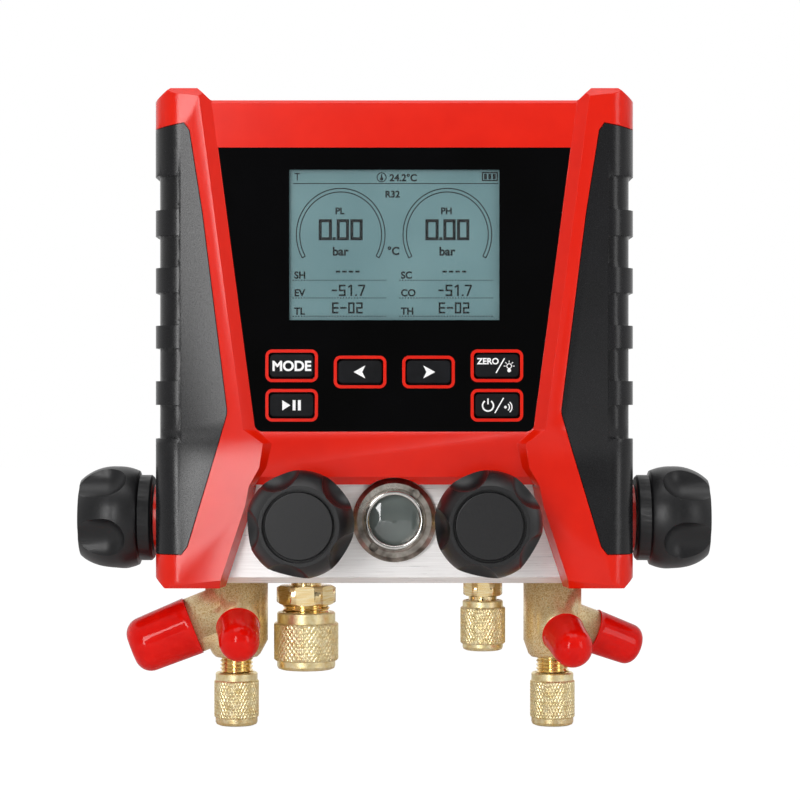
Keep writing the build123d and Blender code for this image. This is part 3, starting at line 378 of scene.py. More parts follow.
def knob_plastic():
    # Glass-filled nylon knob: charcoal, with a fine pitted texture that greys its lit faces.
    look = finish("Nylon glass-filled textured black", IOR=1.53, Specular_IOR_Level=0.38)
    pits = grain(look, 0.4)
    tinted(look, pits, "#0A0A0C", "#121214")
    roughened(look, pits, 0.32, 0.42)
    relief(look, pits, 0.03, 0.7)
    return look


def zinc_steel():
    # Zinc-plated bent wire: cool grey, faintly mottled by the passivation.
    look = finish("Steel zinc-plated", Metallic=1.0)
    mottle = grain(look, 3.0, detail=4.0)
    tinted(look, mottle, "#A9ABAF", "#C9CBCD")
    roughened(look, mottle, 0.22, 0.36)
    return look


def dark_steel():
    # Black zinc screws.
    look = finish("Steel black zinc", Metallic=1.0)
    mottle = grain(look, 1.2, detail=3.0)
    tinted(look, mottle, "#2B2B2D", "#48484A")
    roughened(look, mottle, 0.3, 0.45)
    return look


def bright_steel():
    # Ground stainless steel of stems and sensor cans.
    look = finish("Stainless steel ground", Metallic=1.0)
    lines = grain(look, 0.3, stretch=(1, 1, 0.1))
    tinted(look, lines, "#AEB0B3", "#CFD1D3")
    roughened(look, lines, 0.18, 0.3)
    return look


def seal_rubber():
    # Moulded nitrile: matt black.
    look = finish("Nitrile rubber black", IOR=1.52)
    tinted(look, grain(look, 2.0), "#131313", "#1D1D1D")
    roughened(look, grain(look, 0.3), 0.6, 0.75)
    return look


def board_green():
    # Solder mask over copper: glossy green with the tracks' shade.
    look = finish("Solder mask green", IOR=1.55, Coat_Weight=0.4, Coat_Roughness=0.15)
    tinted(look, grain(look, 1.5, stretch=(1, 1, 0.2)), "#0B4A22", "#15692F")
    roughened(look, grain(look, 1.0), 0.3, 0.45)
    return look


def cell_sleeve():
    # Shrunk polymer sleeve of a cell, left plain.
    look = finish("PVC shrink sleeve grey", IOR=1.54)
    tinted(look, grain(look, 8.0), "#3A3C40", "#4A4D52")
    roughened(look, grain(look, 2.0), 0.22, 0.34)
    return look


# Which finish each of the record's material slots takes.
FINISHES = {
    "red_abs": red_abs, "grip_rubber": grip_rubber, "panel_gloss": panel_black, "window_clear": window_clear,
    "lcd": lcd_glass, "board": board_green, "switch_steel": bright_steel, "ring_nickel": nickel_ring,
    "block_aluminium": brushed_aluminium, "seal_rubber": seal_rubber, "sight_glass": sight_glass,
    "turned_brass": turned_brass, "cast_brass": cast_brass, "knurled_brass": knurled_brass,
    "piston_brass": turned_brass, "stem_steel": bright_steel, "knob_plastic": knob_plastic,
    "dust_cap_vinyl": dipped_vinyl, "key_rubber": key_silicone, "hook_steel": zinc_steel,
    "screw_steel": dark_steel, "cell_sleeve": cell_sleeve, "sensor_steel": bright_steel,
    "socket_plastic": seal_rubber,
}


@cache
def finish_of(maker):
    """Each finish is made once, and shared."""
    return maker()


def coat(obj, maker):
    """Puts a finish on an object, in place of what it had."""
    obj.data.materials.clear()
    obj.data.materials.append(finish_of(maker))


def coat_nodes(*names):
    """Puts on each CAD node the finish of its slot."""
    for name in names:
        coat(NODES[name], FINISHES[SLOT_OF[name]])


def settle(obj, node, maker=None, stands_for=True):
    """Gives a finished piece its material, and its place on a CAD node's body."""
    coat(obj, maker or FINISHES[SLOT_OF[node]])
    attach(obj, BODY_OF[node])
    if stands_for:
        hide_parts(node)


# Meshes

def linked(name, data):
    """A new object in the scene."""
    obj = bpy.data.objects.new(name, data)
    bpy.context.scene.collection.objects.link(obj)
    return obj


def solid(name, shapes, sharp_degrees=30, outward=True):
    """A mesh object from several (vertices, faces) shapes in metres."""
    vertices, faces = [], []
    for shape_vertices, shape_faces in shapes:
        first = len(vertices)
        vertices += shape_vertices
        faces += [[first + i for i in face] for face in shape_faces]
    mesh = bpy.data.meshes.new(name)
    mesh.from_pydata(vertices, [], faces)
    if outward:
        tidy_faces(mesh)
    smooth(mesh, sharp_degrees)
    return linked(name, mesh)


def tidy_faces(mesh):
    """Merges doubles and points the faces outwards."""
    work = bmesh.new()
    work.from_mesh(mesh)
    bmesh.ops.remove_doubles(work, verts=work.verts, dist=SAME_POINT)
    bmesh.ops.recalc_face_normals(work, faces=work.faces)
    work.to_mesh(mesh)
    work.free()


def smooth(mesh, sharp_degrees):
    """Shades a mesh smooth, except over edges that turn by more than an angle."""
    mesh.polygons.foreach_set("use_smooth", [True] * len(mesh.polygons))
    mesh.set_sharp_from_angle(angle=radians(sharp_degrees))


def moved(obj, matrix):
    """Moves an object's mesh and leaves its origin."""
    obj.data.transform(matrix)
    return obj


def turned(profile, segments, closed_loop=False):
    """A solid of revolution about Z, from (radius, height) points in millimetres."""
    vertices, faces, rings = [], [], []
    for radius, height in profile:
        count = segments if radius > 1e-6 else 1
        rings.append((len(vertices), count))
        vertices += [Vector((radius * cos(tau * i / segments), radius * sin(tau * i / segments), height)) * MM
                     for i in range(count)]
    pairs = list(zip(rings, rings[1:]))
    if closed_loop:
        pairs.append((rings[-1], rings[0]))
    for (a, a_count), (b, b_count) in pairs:
        for i in range(segments):
            j = (i + 1) % segments
            corners = [a + (i if a_count > 1 else 0), b + (i if b_count > 1 else 0),
                       b + (j if b_count > 1 else 0), a + (j if a_count > 1 else 0)]
            faces.append(list(dict.fromkeys(corners)))
    return vertices, [face for face in faces if len(face) > 2]


def bent(points, radius_mm):
    """A round bar along points in millimetres, closed at both ends."""
    sides = 16
    vertices, faces = [], []
    up = Vector((0, 1, 0))
    for i, point in enumerate(points):
        ahead = Vector(points[min(i + 1, len(points) - 1)]) - Vector(points[max(i - 1, 0)])
        ahead.normalize()
        side = ahead.cross(up).normalized()
        vertices += [at(*point) + (side * cos(tau * k / sides) + up * sin(tau * k / sides)) * radius_mm * MM
                     for k in range(sides)]
    for i in range(len(points) - 1):
        for k in range(sides):
            a, b = i * sides + k, i * sides + (k + 1) % sides
            faces.append([a, b, b + sides, a + sides])
    faces.append(list(range(sides)))
    faces.append([len(vertices) - 1 - k for k in range(sides)])
    return vertices, faces


def softened(name, width_mm, sharp_degrees=28):
    """A copy of a CAD node with its edges broken, which stands for the node."""
    obj = linked(f"{name}_moulded", NODES[name].data.copy())
    work = bmesh.new()
    work.from_mesh(obj.data)
    bmesh.ops.remove_doubles(work, verts=work.verts, dist=SAME_CAD_POINT)
    bmesh.ops.dissolve_limit(work, angle_limit=radians(1), verts=work.verts, edges=work.edges)
    work.to_mesh(obj.data)
    work.free()
    bevel = obj.modifiers.new("Broken edges", "BEVEL")
    bevel.width = width_mm * MM
    bevel.segments = 2
    bevel.limit_method = "ANGLE"
    bevel.angle_limit = radians(sharp_degrees)
    bevel.use_clamp_overlap = True
    bevel.harden_normals = True
    smooth(obj.data, sharp_degrees)
    keep(obj)
    settle(obj, name)


def keep(obj):
    """Keeps what the object's modifiers make as its plain mesh."""
    result = bpy.data.meshes.new_from_object(obj.evaluated_get(bpy.context.evaluated_depsgraph_get()))
    obj.modifiers.clear()
    obj.data = result


# Geometry Nodes

SOCKETS = {int: "NodeSocketInt", float: "NodeSocketFloat", type(None): "NodeSocketMaterial"}


def new_tree(name, inputs):
    """A geometry tree with named inputs, from their defaults. None stands for a material."""
    tree = bpy.data.node_groups.new(name, "GeometryNodeTree")
    tree.interface.new_socket("Geometry", in_out="OUTPUT", socket_type="NodeSocketGeometry")
    tree.interface.new_socket("Geometry", in_out="INPUT", socket_type="NodeSocketGeometry")
    for label, value in inputs.items():
        socket = tree.interface.new_socket(label, in_out="INPUT", socket_type=SOCKETS[type(value)])
        if value is not None:
            socket.default_value = value
    return tree, add_node(tree, "NodeGroupInput").outputs


def end_tree(tree, geometry, material):
    """Realizes a tree's geometry, gives it its material and puts it out."""
    real = add_node(tree, "GeometryNodeRealizeInstances", {0: geometry})
    finished = add_node(tree, "GeometryNodeSetMaterial", {0: real.outputs[0], "Material": material})
    add_node(tree, "NodeGroupOutput", {0: finished.outputs[0]})


def grow(obj, tree, values):
    """Runs a geometry tree over an object, and keeps the plain mesh that it makes."""
    modifier = obj.modifiers.new(tree.name, "NODES")
    modifier.node_group = tree
    for item in tree.interface.items_tree:
        if item.in_out == "INPUT" and item.name in values:
            modifier[item.identifier] = values[item.name]
    keep(obj)


def maths(tree, operation, *values):
    """The result of one Math node."""
    return add_node(tree, "ShaderNodeMath", dict(enumerate(values)), operation=operation).outputs[0]


def sunk_tree(name, inputs, crest_at):
    """A tree that sinks a turned surface by Depth, less where crest_at nears 1."""
    tree, given = new_tree(name, inputs | {"Depth": 0.0005, "Start": 0.0, "End": 0.0, "Material": None})
    place = add_node(tree, "GeometryNodeInputPosition").outputs[0]
    x, y, z = add_node(tree, "ShaderNodeSeparateXYZ", {0: place}).outputs
    turn = maths(tree, "DIVIDE", maths(tree, "ARCTAN2", y, x), tau)
    valley = maths(tree, "SUBTRACT", 1.0, crest_at(tree, turn, z, given))
    depth = maths(tree, "MULTIPLY", given["Depth"], valley)
    inside = maths(tree, "MULTIPLY", maths(tree, "GREATER_THAN", z, given["Start"]),
                   maths(tree, "LESS_THAN", z, given["End"]))
    depth = maths(tree, "MULTIPLY", depth, inside)
    flat = add_node(tree, "ShaderNodeCombineXYZ", {0: x, 1: y, 2: 0.0}).outputs[0]
    outward = add_node(tree, "ShaderNodeVectorMath", {0: flat}, operation="NORMALIZE").outputs[0]
    step = add_node(tree, "ShaderNodeVectorMath", {0: outward, "Scale": maths(tree, "MULTIPLY", depth, -1.0)},
                    operation="SCALE").outputs[0]
    sunk = add_node(tree, "GeometryNodeSetPosition", {0: given["Geometry"], "Offset": step})
    end_tree(tree, sunk.outputs[0], given["Material"])
    return tree


def knurl_crest(tree, turn, height, given):
    """Two crossing sets of V grooves, with flat lands between them."""
    steepness = 3.4
    around = maths(tree, "MULTIPLY", turn, given["Diamonds around"])
    along = maths(tree, "DIVIDE", height, given["Diamond length"])
    one = maths(tree, "PINGPONG", maths(tree, "ADD", around, along), 0.5)
    other = maths(tree, "PINGPONG", maths(tree, "SUBTRACT", around, along), 0.5)
    rise = maths(tree, "MULTIPLY", maths(tree, "MINIMUM", one, other), steepness)
    return maths(tree, "MINIMUM", rise, 1.0)


def thread_crest(tree, turn, height, given):
    """One V groove that climbs by the pitch in each turn."""
    along = maths(tree, "SUBTRACT", maths(tree, "DIVIDE", height, given["Pitch"]), turn)
    return maths(tree, "MULTIPLY", maths(tree, "PINGPONG", along, 0.5), 2.0)


def row_tree():
    """A tree that sets small squares in a row."""
    tree, given = new_tree("Dotted rule", {"Count": 40, "Step": 0.0007, "Dot": 0.0003, "Material": None})
    offset = add_node(tree, "ShaderNodeCombineXYZ", {0: given["Step"]}).outputs[0]
    line = add_node(tree, "GeometryNodeMeshLine", {"Count": given["Count"], "Offset": offset})
    dot = add_node(tree, "GeometryNodeMeshGrid",
                   {"Size X": given["Dot"], "Size Y": given["Dot"], "Vertices X": 2, "Vertices Y": 2})
    placed = add_node(tree, "GeometryNodeInstanceOnPoints", {0: line.outputs[0], "Instance": dot.outputs[0]})
    end_tree(tree, placed.outputs[0], given["Material"])
    return tree


# Display and lettering. A drawing is a list of flat shapes in millimetres, seen from the front.

# The strokes of each seven-segment figure.
SEGMENTS = {"0": "abcdef", "1": "bc", "2": "abged", "5": "afgcd", "E": "afged", "-": "g"}
# Lettering: a capital's share of the type size, and how much each stroke is thickened.
CAPITAL_SHARE = 0.7
STROKE_GAIN = 0.045
# Display: weights of its thick and thin figures and of its scales, the scales' middle, and how much
# taller than wide they are.
THICK = 1.0
THIN = 0.56
SCALE_LINE = 0.32
SCALE_Z = 3.4
SCALE_RADII = (14.3, 13.2)
SCALE_ENDS = (-30, 210)
SCALE_STRETCH = 1.045
# Dotted rules: pitch and size of the dots, in metres.
RULE_STEP = 0.0009
RULE_DOT = 0.00038


def bar_shape(x1, z1, x2, z2, width):
    """A straight stroke between two points."""
    along = Vector((x2 - x1, z2 - z1)).normalized()
    side = Vector((-along.y, along.x)) * width / 2
    start, end = Vector((x1, z1)), Vector((x2, z2))
    return [start + side, end + side, end - side, start - side]


def arc_shapes(x, z, radius, width, start, end, steps=40):
    """A circular stroke, angles in degrees counter-clockwise from the right."""
    shapes = []
    for i in range(steps):
        a, b = (radians(start + (end - start) * (i + k) / steps) for k in (0, 1))
        shapes.append([Vector((x + r * cos(t), z + r * sin(t))) for r, t in
                       ((radius - width / 2, a), (radius + width / 2, a), (radius + width / 2, b),
                        (radius - width / 2, b))])
    return shapes


def disc_shape(x, z, radius):
    """A filled disc."""
    sides = 24
    turns = [tau * i / sides for i in range(sides)]
    return [Vector((x + radius * cos(turn), z + radius * sin(turn))) for turn in turns]


def digit_shapes(text, x, z, height, width, step, stroke):
    """Seven-segment figures from x on, with their foot at z. A full stop is a square dot."""
    shapes = []
    for letter in text:
        if letter == ".":
            foot = z + stroke / 2
            shapes.append(bar_shape(x - stroke * 0.4, foot, x + stroke * 0.6, foot, stroke))
            x += stroke * 1.6
            continue
        left, right, middle, top = x, x + width, z + height / 2, z + height
        inner = stroke / 2
        ends = {
            "a": (left, top - inner, right, top - inner), "g": (left, middle, right, middle),
            "d": (left, z + inner, right, z + inner), "f": (left + inner, middle, left + inner, top),
            "b": (right - inner, middle, right - inner, top), "e": (left + inner, z, left + inner, middle),
            "c": (right - inner, z, right - inner, middle),
        }
        shapes += [bar_shape(*ends[s], stroke) for s in SEGMENTS[letter]]
        x += step
    return shapes


def words(text, x, z, height, align="CENTER"):
    """Letters as flat shapes, centred on z."""
    curve = bpy.data.curves.new("words", "FONT")
    curve.body = text
    curve.align_x = align
    curve.size = height / CAPITAL_SHARE
    curve.offset = STROKE_GAIN * height
    obj = linked("words", curve)
    mesh = bpy.data.meshes.new_from_object(obj.evaluated_get(bpy.context.evaluated_depsgraph_get()))
    points = [v.co.copy() for v in mesh.vertices]
    shapes = [[Vector((x + points[i].x, z - height / 2 + points[i].y)) for i in face.vertices]
              for face in mesh.polygons]
    bpy.data.objects.remove(obj)
    bpy.data.curves.remove(curve)
    bpy.data.meshes.remove(mesh)
    return shapes


def drawn(name, shapes, centre_x, centre_z, face_y):
    """A drawing laid on a face that looks to the front."""
    vertices, faces = [], []
    for shape in shapes:
        first = len(vertices)
        vertices += [at(centre_x + p.x, face_y, centre_z + p.y) for p in shape]
        faces.append([first + i for i in range(len(shape))])
    obj = solid(name, [(vertices, faces)], outward=False)
    face_front(obj.data)
    return obj


def face_front(mesh):
    """Turns every face of a drawing to the front."""
    work = bmesh.new()
    work.from_mesh(mesh)
    bmesh.ops.reverse_faces(work, faces=[f for f in work.faces if f.normal.y > 0])
    work.to_mesh(mesh)
    work.free()


def scale_shapes(x):
    """The double arc over a reading, closed at both ends."""
    scale = []
    for radius in SCALE_RADII:
        scale += arc_shapes(x, SCALE_Z, radius, SCALE_LINE, *SCALE_ENDS)
    for turn in map(radians, SCALE_ENDS):
        (x1, z1), (x2, z2) = ((x + r * cos(turn), SCALE_Z + r * sin(turn)) for r in (13.1, 14.4))
        scale.append(bar_shape(x1, z1, x2, z2, SCALE_LINE))
    return [[Vector((p.x, SCALE_Z + (p.y - SCALE_Z) * SCALE_STRETCH)) for p in shape] for shape in scale]


def lcd_drawing():
    """Everything that is switched on in the display."""
    shapes = [bar_shape(-33.0, 19.9, 33.2, 19.9, 0.26)]
    for x in (-17.6, 16.8):
        shapes += scale_shapes(x)
    for x, head, names in ((0.0, "PL", ("SH", "EV", "TL")), (34.4, "PH", ("SC", "CO", "TH"))):
        shapes += words(head, x - 17.9, 11.1, 2.1)
        shapes += digit_shapes("0.", x - 24.7, 1.6, 6.8, 4.3, 4.9, THICK)
        shapes += digit_shapes("00", x - 18.9, 1.6, 6.8, 4.0, 4.4, THICK)
        shapes += words("bar", x - 17.7, -1.9, 2.7)
        for label, z in zip(names, (-9.6, -15.3, -21.2)):
            shapes += words(label, x - 32.6, z, 2.2, "LEFT")
        for i in range(4):
            shapes.append(bar_shape(x - 19.2 + 2.1 * i, -8.5, x - 17.75 + 2.1 * i, -8.5, 0.6))
        shapes += digit_shapes("-", x - 20.5, -16.4, 3.7, 1.7, 2.3, THIN)
        shapes += digit_shapes("5", x - 18.2, -16.4, 3.7, 2.2, 2.3, THIN)
        shapes.append(bar_shape(x - 15.2, -13.6, x - 14.3, -12.9, 0.5))
        shapes += digit_shapes("1.", x - 16.1, -16.4, 3.7, 2.2, 3.4, THIN)
        shapes.append(bar_shape(x - 12.0, -12.98, x - 9.7, -12.98, THIN))
        shapes.append(bar_shape(x - 9.95, -13.1, x - 11.2, -16.4, THIN))
        shapes += digit_shapes("E-02", x - 20.4, -22.0, 3.6, 2.1, 2.6, THIN)
    shapes += words("°C", -0.6, -1.8, 2.5)
    shapes += words("R32", -0.9, 16.5, 2.1)
    shapes += words("24.2°C", 2.6, 21.8, 2.2)
    shapes += arc_shapes(-4.4, 21.9, 1.45, 0.3, 0, 360)
    shapes.append(bar_shape(-4.4, 21.3, -4.4, 22.9, 0.4))
    shapes.append(disc_shape(-4.4, 21.4, 0.55))
    # Battery and aerial signs.
    for x1, z1, x2, z2 in ((28.1, 23.4, 32.9, 23.4), (28.1, 20.9, 32.9, 20.9), (28.1, 23.6, 28.1, 20.7),
                           (32.9, 23.6, 32.9, 20.7)):
        shapes.append(bar_shape(x1, z1, x2, z2, 0.4))
    for x in (29.1, 30.5, 31.9):
        shapes.append(bar_shape(x, 21.3, x, 23.0, 0.95))
    shapes.append(bar_shape(-31.6, 20.9, -31.6, 23.1, 0.34))
    shapes.append(bar_shape(-32.5, 23.1, -30.7, 23.1, 0.34))
    return shapes


def pierced_arrow(side):
    """A swept arrow that points to the side."""
    return [Vector((side * x, z)) for x, z in ((2.1, 0.0), (-1.7, 2.1), (-0.7, 0.0), (-1.7, -2.1))]


def key_drawings():
    """White signs on the keys, in millimetres from each key's middle."""
    bulb = arc_shapes(3.9, -0.1, 0.75, 0.26, 0, 360, 24)
    for turn in map(radians, (0, 45, 90, 135, 180)):
        (x1, z1), (x2, z2) = ((3.9 + r * cos(turn), -0.1 + r * sin(turn)) for r in (1.15, 1.75))
        bulb.append(bar_shape(x1, z1, x2, z2, 0.24))
    bulb.append(disc_shape(3.9, -1.5, 0.6))
    power = arc_shapes(-2.9, -0.1, 1.75, 0.5, 125, 415, 36)
    power.append(bar_shape(-2.9, 0.3, -2.9, 2.2, 0.45))
    waves = [disc_shape(2.7, -0.6, 0.45)]
    waves += arc_shapes(2.7, -0.6, 1.3, 0.36, -50, 50, 12) + arc_shapes(2.7, -0.6, 2.1, 0.36, -50, 50, 14)
    return {
        "button_mode": words("MODE", 0, 0, 3.1),
        "button_play_pause": [[Vector((-3.0, 1.65)), Vector((-3.0, -1.65)), Vector((-0.4, 0.0))],
                              bar_shape(0.8, -1.65, 0.8, 1.65, 0.95), bar_shape(2.5, -1.65, 2.5, 1.65, 0.95)],
        "button_left": [pierced_arrow(-1)],
        "button_right": [pierced_arrow(1)],
        "button_zero_light": words("ZERO", -2.9, 1.5, 1.9) + [bar_shape(-0.3, -2.3, 2.4, 2.4, 0.4)] + bulb,
        "button_power": power + [bar_shape(-0.7, -2.5, 2.1, 2.4, 0.4)] + waves,
    }


# Settings that a user may change.

class GaugeSizes(bpy.types.PropertyGroup):
    edge: FloatProperty(name="Broken edge", description="Width of the bevel on moulded edges, in millimetres",
                        default=0.45, min=0.05, max=1.5)
    knurl_depth: FloatProperty(name="Knurl depth", description="Depth of the knurl's grooves, in millimetres",
                               default=0.24, min=0.05, max=0.8)
    diamond_length: FloatProperty(name="Diamond length", default=2.2, min=0.8, max=5.0,
                                  description="Length of a knurl diamond, in millimetres")
    thread_depth: FloatProperty(name="Thread depth", description="Depth of the flare threads, in millimetres",
                                default=0.72, min=0.1, max=1.0)
    dots: IntProperty(name="Dots in a rule", description="How many dots make one dotted rule of the display",
                      default=34, min=2, max=120)


class StageSettings(bpy.types.PropertyGroup):
    side_light: FloatProperty(name="Side softboxes", default=6.0, min=0.0, max=200.0,
                              description="Power of the left softbox, in watts; the right one has 0.4 of it")
    top_light: FloatProperty(name="Top softbox", description="Power of the softbox overhead, in watts",
                             default=4.0, min=0.0, max=200.0)
    backdrop: FloatVectorProperty(name="Backdrop", description="Colour of the floor", subtype="COLOR", size=4,
                                  min=0.0, max=1.0, default=linear("#F6F6F6"))


# Operators

class GAUGE_OT_housing(bpy.types.Operator):
    """Red shells, battery door, screws and probe sockets"""
    bl_idname = "gauge.housing"
    bl_label = "Housing"

    def execute(self, context):
        edge = context.scene.gauge_sizes.edge
        for name in ("front_shell", "rear_shell", "battery_door"):
            softened(name, edge)
        coat_nodes("housing_screws", "block_screws", "probe_sockets")
        return {"FINISHED"}


class GAUGE_OT_grips(bpy.types.Operator):
    """Soft covers on both sides"""
    bl_idname = "gauge.grips"
    bl_label = "Grips"

    def execute(self, context):
        for name in ("left_grip", "right_grip"):
            softened(name, context.scene.gauge_sizes.edge)
        return {"FINISHED"}


class GAUGE_OT_display(bpy.types.Operator):
    """Black panel, clear window and what the display shows"""
    bl_idname = "gauge.display"
    bl_label = "Display"

    def execute(self, context):
        coat_nodes("display_panel", "lcd_module")
        half_x, half_z = WINDOW_HALF
        cover_back_y = LCD_FACE_Y - COVER_GAP
        corners = [at(x, y, WINDOW_Z + z) for y in (PANEL_Y, cover_back_y)
                   for x, z in ((-half_x, -half_z), (half_x, -half_z), (half_x, half_z), (-half_x, half_z))]
        faces = [(0, 1, 2, 3), (7, 6, 5, 4), (0, 4, 5, 1), (1, 5, 6, 2), (2, 6, 7, 3), (3, 7, 4, 0)]
        settle(solid("window_cover", [(corners, faces)]), "display_window")
        ink = drawn("display_figures", lcd_drawing(), 0.3, WINDOW_Z, LCD_FACE_Y - INK_LIFT)
        settle(ink, "lcd_module", lcd_ink, stands_for=False)
        rules = row_tree()
        for column in (-32.6, 1.8):
            for z in (-11.3, -17.0, -22.9):
                rule = solid(f"display_rule_{'left' if column < 0 else 'right'}_{round(-z)}", [([], [])])
                grow(rule, rules, {"Count": context.scene.gauge_sizes.dots, "Step": RULE_STEP,
                                   "Dot": RULE_DOT, "Material": finish_of(lcd_ink)})
                moved(rule, Matrix.Translation(at(column, LCD_FACE_Y - INK_LIFT, WINDOW_Z + z))
                      @ Matrix.Rotation(radians(90), 4, "X"))
                settle(rule, "lcd_module", lcd_ink, stands_for=False)
        return {"FINISHED"}


class GAUGE_OT_keys(bpy.types.Operator):
    """Six keys with their printed signs"""
    bl_idname = "gauge.keys"
    bl_label = "Keys"

    def execute(self, context):
        drawings = key_drawings()
        for name, (x, z) in KEYS.items():
            coat_nodes(name)
            sign = drawn(f"{name}_sign", drawings[name], x, z, KEY_FACE_Y - SIGN_LIFT)
            settle(sign, name, print_white, stands_for=False)
        return {"FINISHED"}


class GAUGE_OT_manifold(bpy.types.Operator):
    """Valve block, sight glass and valve trains"""
    bl_idname = "gauge.manifold"
    bl_label = "Manifold"

    def execute(self, context):
        softened("manifold_block", BLOCK_EDGE)
        coat_nodes("sight_glass_ring", "sight_glass_gasket", "sight_glass_lens", "valve_bonnets",
                   "pressure_sensors")
        out = Matrix.Translation(at(0, BLOCK_FACE_Y - RING_RISE, 0)) @ Matrix.Rotation(pi / 2, 4, "X")
        radius, height, half_width, half_height = RIM
        bead = [(radius + half_width * cos(turn), height + half_height * sin(turn))
                for turn in map(radians, range(0, 360, 30))]
        rim = moved(solid("sight_glass_rim", [turned(bead, 96, closed_loop=True)], 60), out)
        settle(rim, "sight_glass_ring", polished_rim, stands_for=False)
        for valve in ("low", "vacuum", "charge", "high"):
            coat_nodes(f"{valve}_piston", f"{valve}_stem", f"{valve}_knob_disc")
            softened(f"{valve}_knob", KNOB_EDGE, sharp_degrees=24)
        return {"FINISHED"}


class GAUGE_OT_ports(bpy.types.Operator):
    """Brass port bodies and fittings, with cut threads"""
    bl_idname = "gauge.ports"
    bl_label = "Ports"

    def execute(self, context):
        depth = context.scene.gauge_sizes.thread_depth
        tree = sunk_tree("Cut thread", {"Pitch": 0.00127}, thread_crest)
        for name, (x, radius, pitch, start, end) in PORTS.items():
            body = linked(f"{name}_turned", NODES[name].data.copy())
            work = bmesh.new()
            work.from_mesh(body.data)
            bmesh.ops.remove_doubles(work, verts=work.verts, dist=SAME_CAD_POINT)
            cut = at(x, 0, BLOCK_LOW_Z - start - 0.01)
            bmesh.ops.bisect_plane(work, geom=work.verts[:] + work.edges[:] + work.faces[:], plane_co=cut,
                                   plane_no=(0, 0, -1), clear_outer=True)
            work.to_mesh(body.data)
            work.free()
            smooth(body.data, 30)
            settle(body, name)
            cone = radius * CONE_SHARE
            last = end - cone
            rows = round((last - start) / (pitch / ROWS_IN_A_GROOVE))
            line = [(PORT_BORE, start), (radius - depth, start)]
            line += [(radius, start + 0.05 + (last - start - 0.05) * i / rows) for i in range(rows + 1)]
            line += [(radius - cone, end), (PORT_BORE, end)]
            thread = solid(f"{name}_thread", [turned(line, 64, closed_loop=True)])
            grow(thread, tree, {"Pitch": pitch * MM, "Depth": depth * MM, "Start": (start + 0.02) * MM,
                                "End": (last - 0.02) * MM, "Material": finish_of(turned_brass)})
            smooth(thread.data, 40)
            moved(thread, Matrix.Translation(at(x, 0, BLOCK_LOW_Z)) @ Matrix.Rotation(pi, 4, "X"))
            settle(thread, name, turned_brass, stands_for=False)
        return {"FINISHED"}


class GAUGE_OT_brass_caps(bpy.types.Operator):
    """Knurled flare caps with their seals"""
    bl_idname = "gauge.brass_caps"
    bl_label = "Brass caps"

    def execute(self, context):
        sizes = context.scene.gauge_sizes
        tree = sunk_tree("Diamond knurl", {"Diamonds around": 40.0, "Diamond length": 0.0022}, knurl_crest)
        for name, (x, thread, rim, band_r, knurl_r, band, knurl, low_band, around) in CAPS.items():
            start = rim + band
            stop = start + knurl
            end = stop + low_band
            inside = end - CAP_FLOOR
            rows = round(knurl / (sizes.diamond_length / ROWS_IN_A_GROOVE))
            line = [(0, end), (band_r - 1.2, end), (band_r - 0.35, end - 0.35), (band_r, end - 1.1),
                    (band_r, stop + 0.02)]
            line += [(knurl_r - KNURL_CHAMFER, stop), (knurl_r, stop - KNURL_CHAMFER)]
            line += [(knurl_r, stop - KNURL_CHAMFER - (knurl - 2 * KNURL_CHAMFER) * (i + 1) / rows)
                     for i in range(rows)]
            line += [(knurl_r - KNURL_CHAMFER, start), (band_r, start - 0.02), (band_r, rim + 0.4),
                     (band_r - 0.4, rim), (thread + 0.05, rim), (thread + 0.05, inside), (0, inside)]
            cap = solid(f"{name}_knurled", [turned(line, around * 8)])
            grow(cap, tree, {"Diamonds around": float(around), "Diamond length": sizes.diamond_length * MM,
                             "Depth": sizes.knurl_depth * MM, "Start": (start + 0.1) * MM,
                             "End": (stop - 0.1) * MM, "Material": finish_of(knurled_brass)})
            smooth(cap.data, 25)
            moved(cap, Matrix.Translation(at(x, 0, BLOCK_LOW_Z)) @ Matrix.Rotation(pi, 4, "X"))
            settle(cap, name)
            coat_nodes(name.replace("brass_cap", "cap_seal"))
        return {"FINISHED"}


class GAUGE_OT_dust_caps(bpy.types.Operator):
    """Vinyl caps pushed over the side and front spigots"""
    bl_idname = "gauge.dust_caps"
    bl_label = "Dust caps"

    def execute(self, context):
        for name, (x, drop, turn, tilt, side, front, start, radius, long) in DUST_CAPS.items():
            turn, tilt = radians(turn), radians(tilt)
            flat = (sin(turn), -cos(turn)) if front else (side * cos(turn), side * sin(turn))
            axis = Vector((flat[0] * cos(tilt), flat[1] * cos(tilt), -sin(tilt)))
            tip = radius - 0.6
            bend = tip * (0.95 if front else 0.6)
            end = start + long
            bore = radius - VINYL_WALL
            line = [(0, end)]
            line += [(tip - bend + bend * sin(radians(a)), end - bend + bend * cos(radians(a)))
                     for a in range(0, 91, 10)]
            line += [(tip + (radius - 0.12 - tip) * i / 8, end - bend - (long - bend - 0.25) * i / 8)
                     for i in range(1, 9)]
            line += [(radius, start + 0.15), (radius - 0.1, start + 0.03), (radius - 0.3, start),
                     (bore + 0.15, start), (bore, start + 0.2), (bore, end - bend - 0.2),
                     (bore * 0.45, end - 2.2), (0, end - 2.0)]
            cap = solid(f"{name}_dipped", [turned(line, 72)], sharp_degrees=50)
            away = Vector((0, 0, 1)).rotation_difference(axis).to_matrix().to_4x4()
            moved(cap, Matrix.Translation(at(x, 0, BLOCK_LOW_Z - drop)) @ away)
            settle(cap, name)
        return {"FINISHED"}


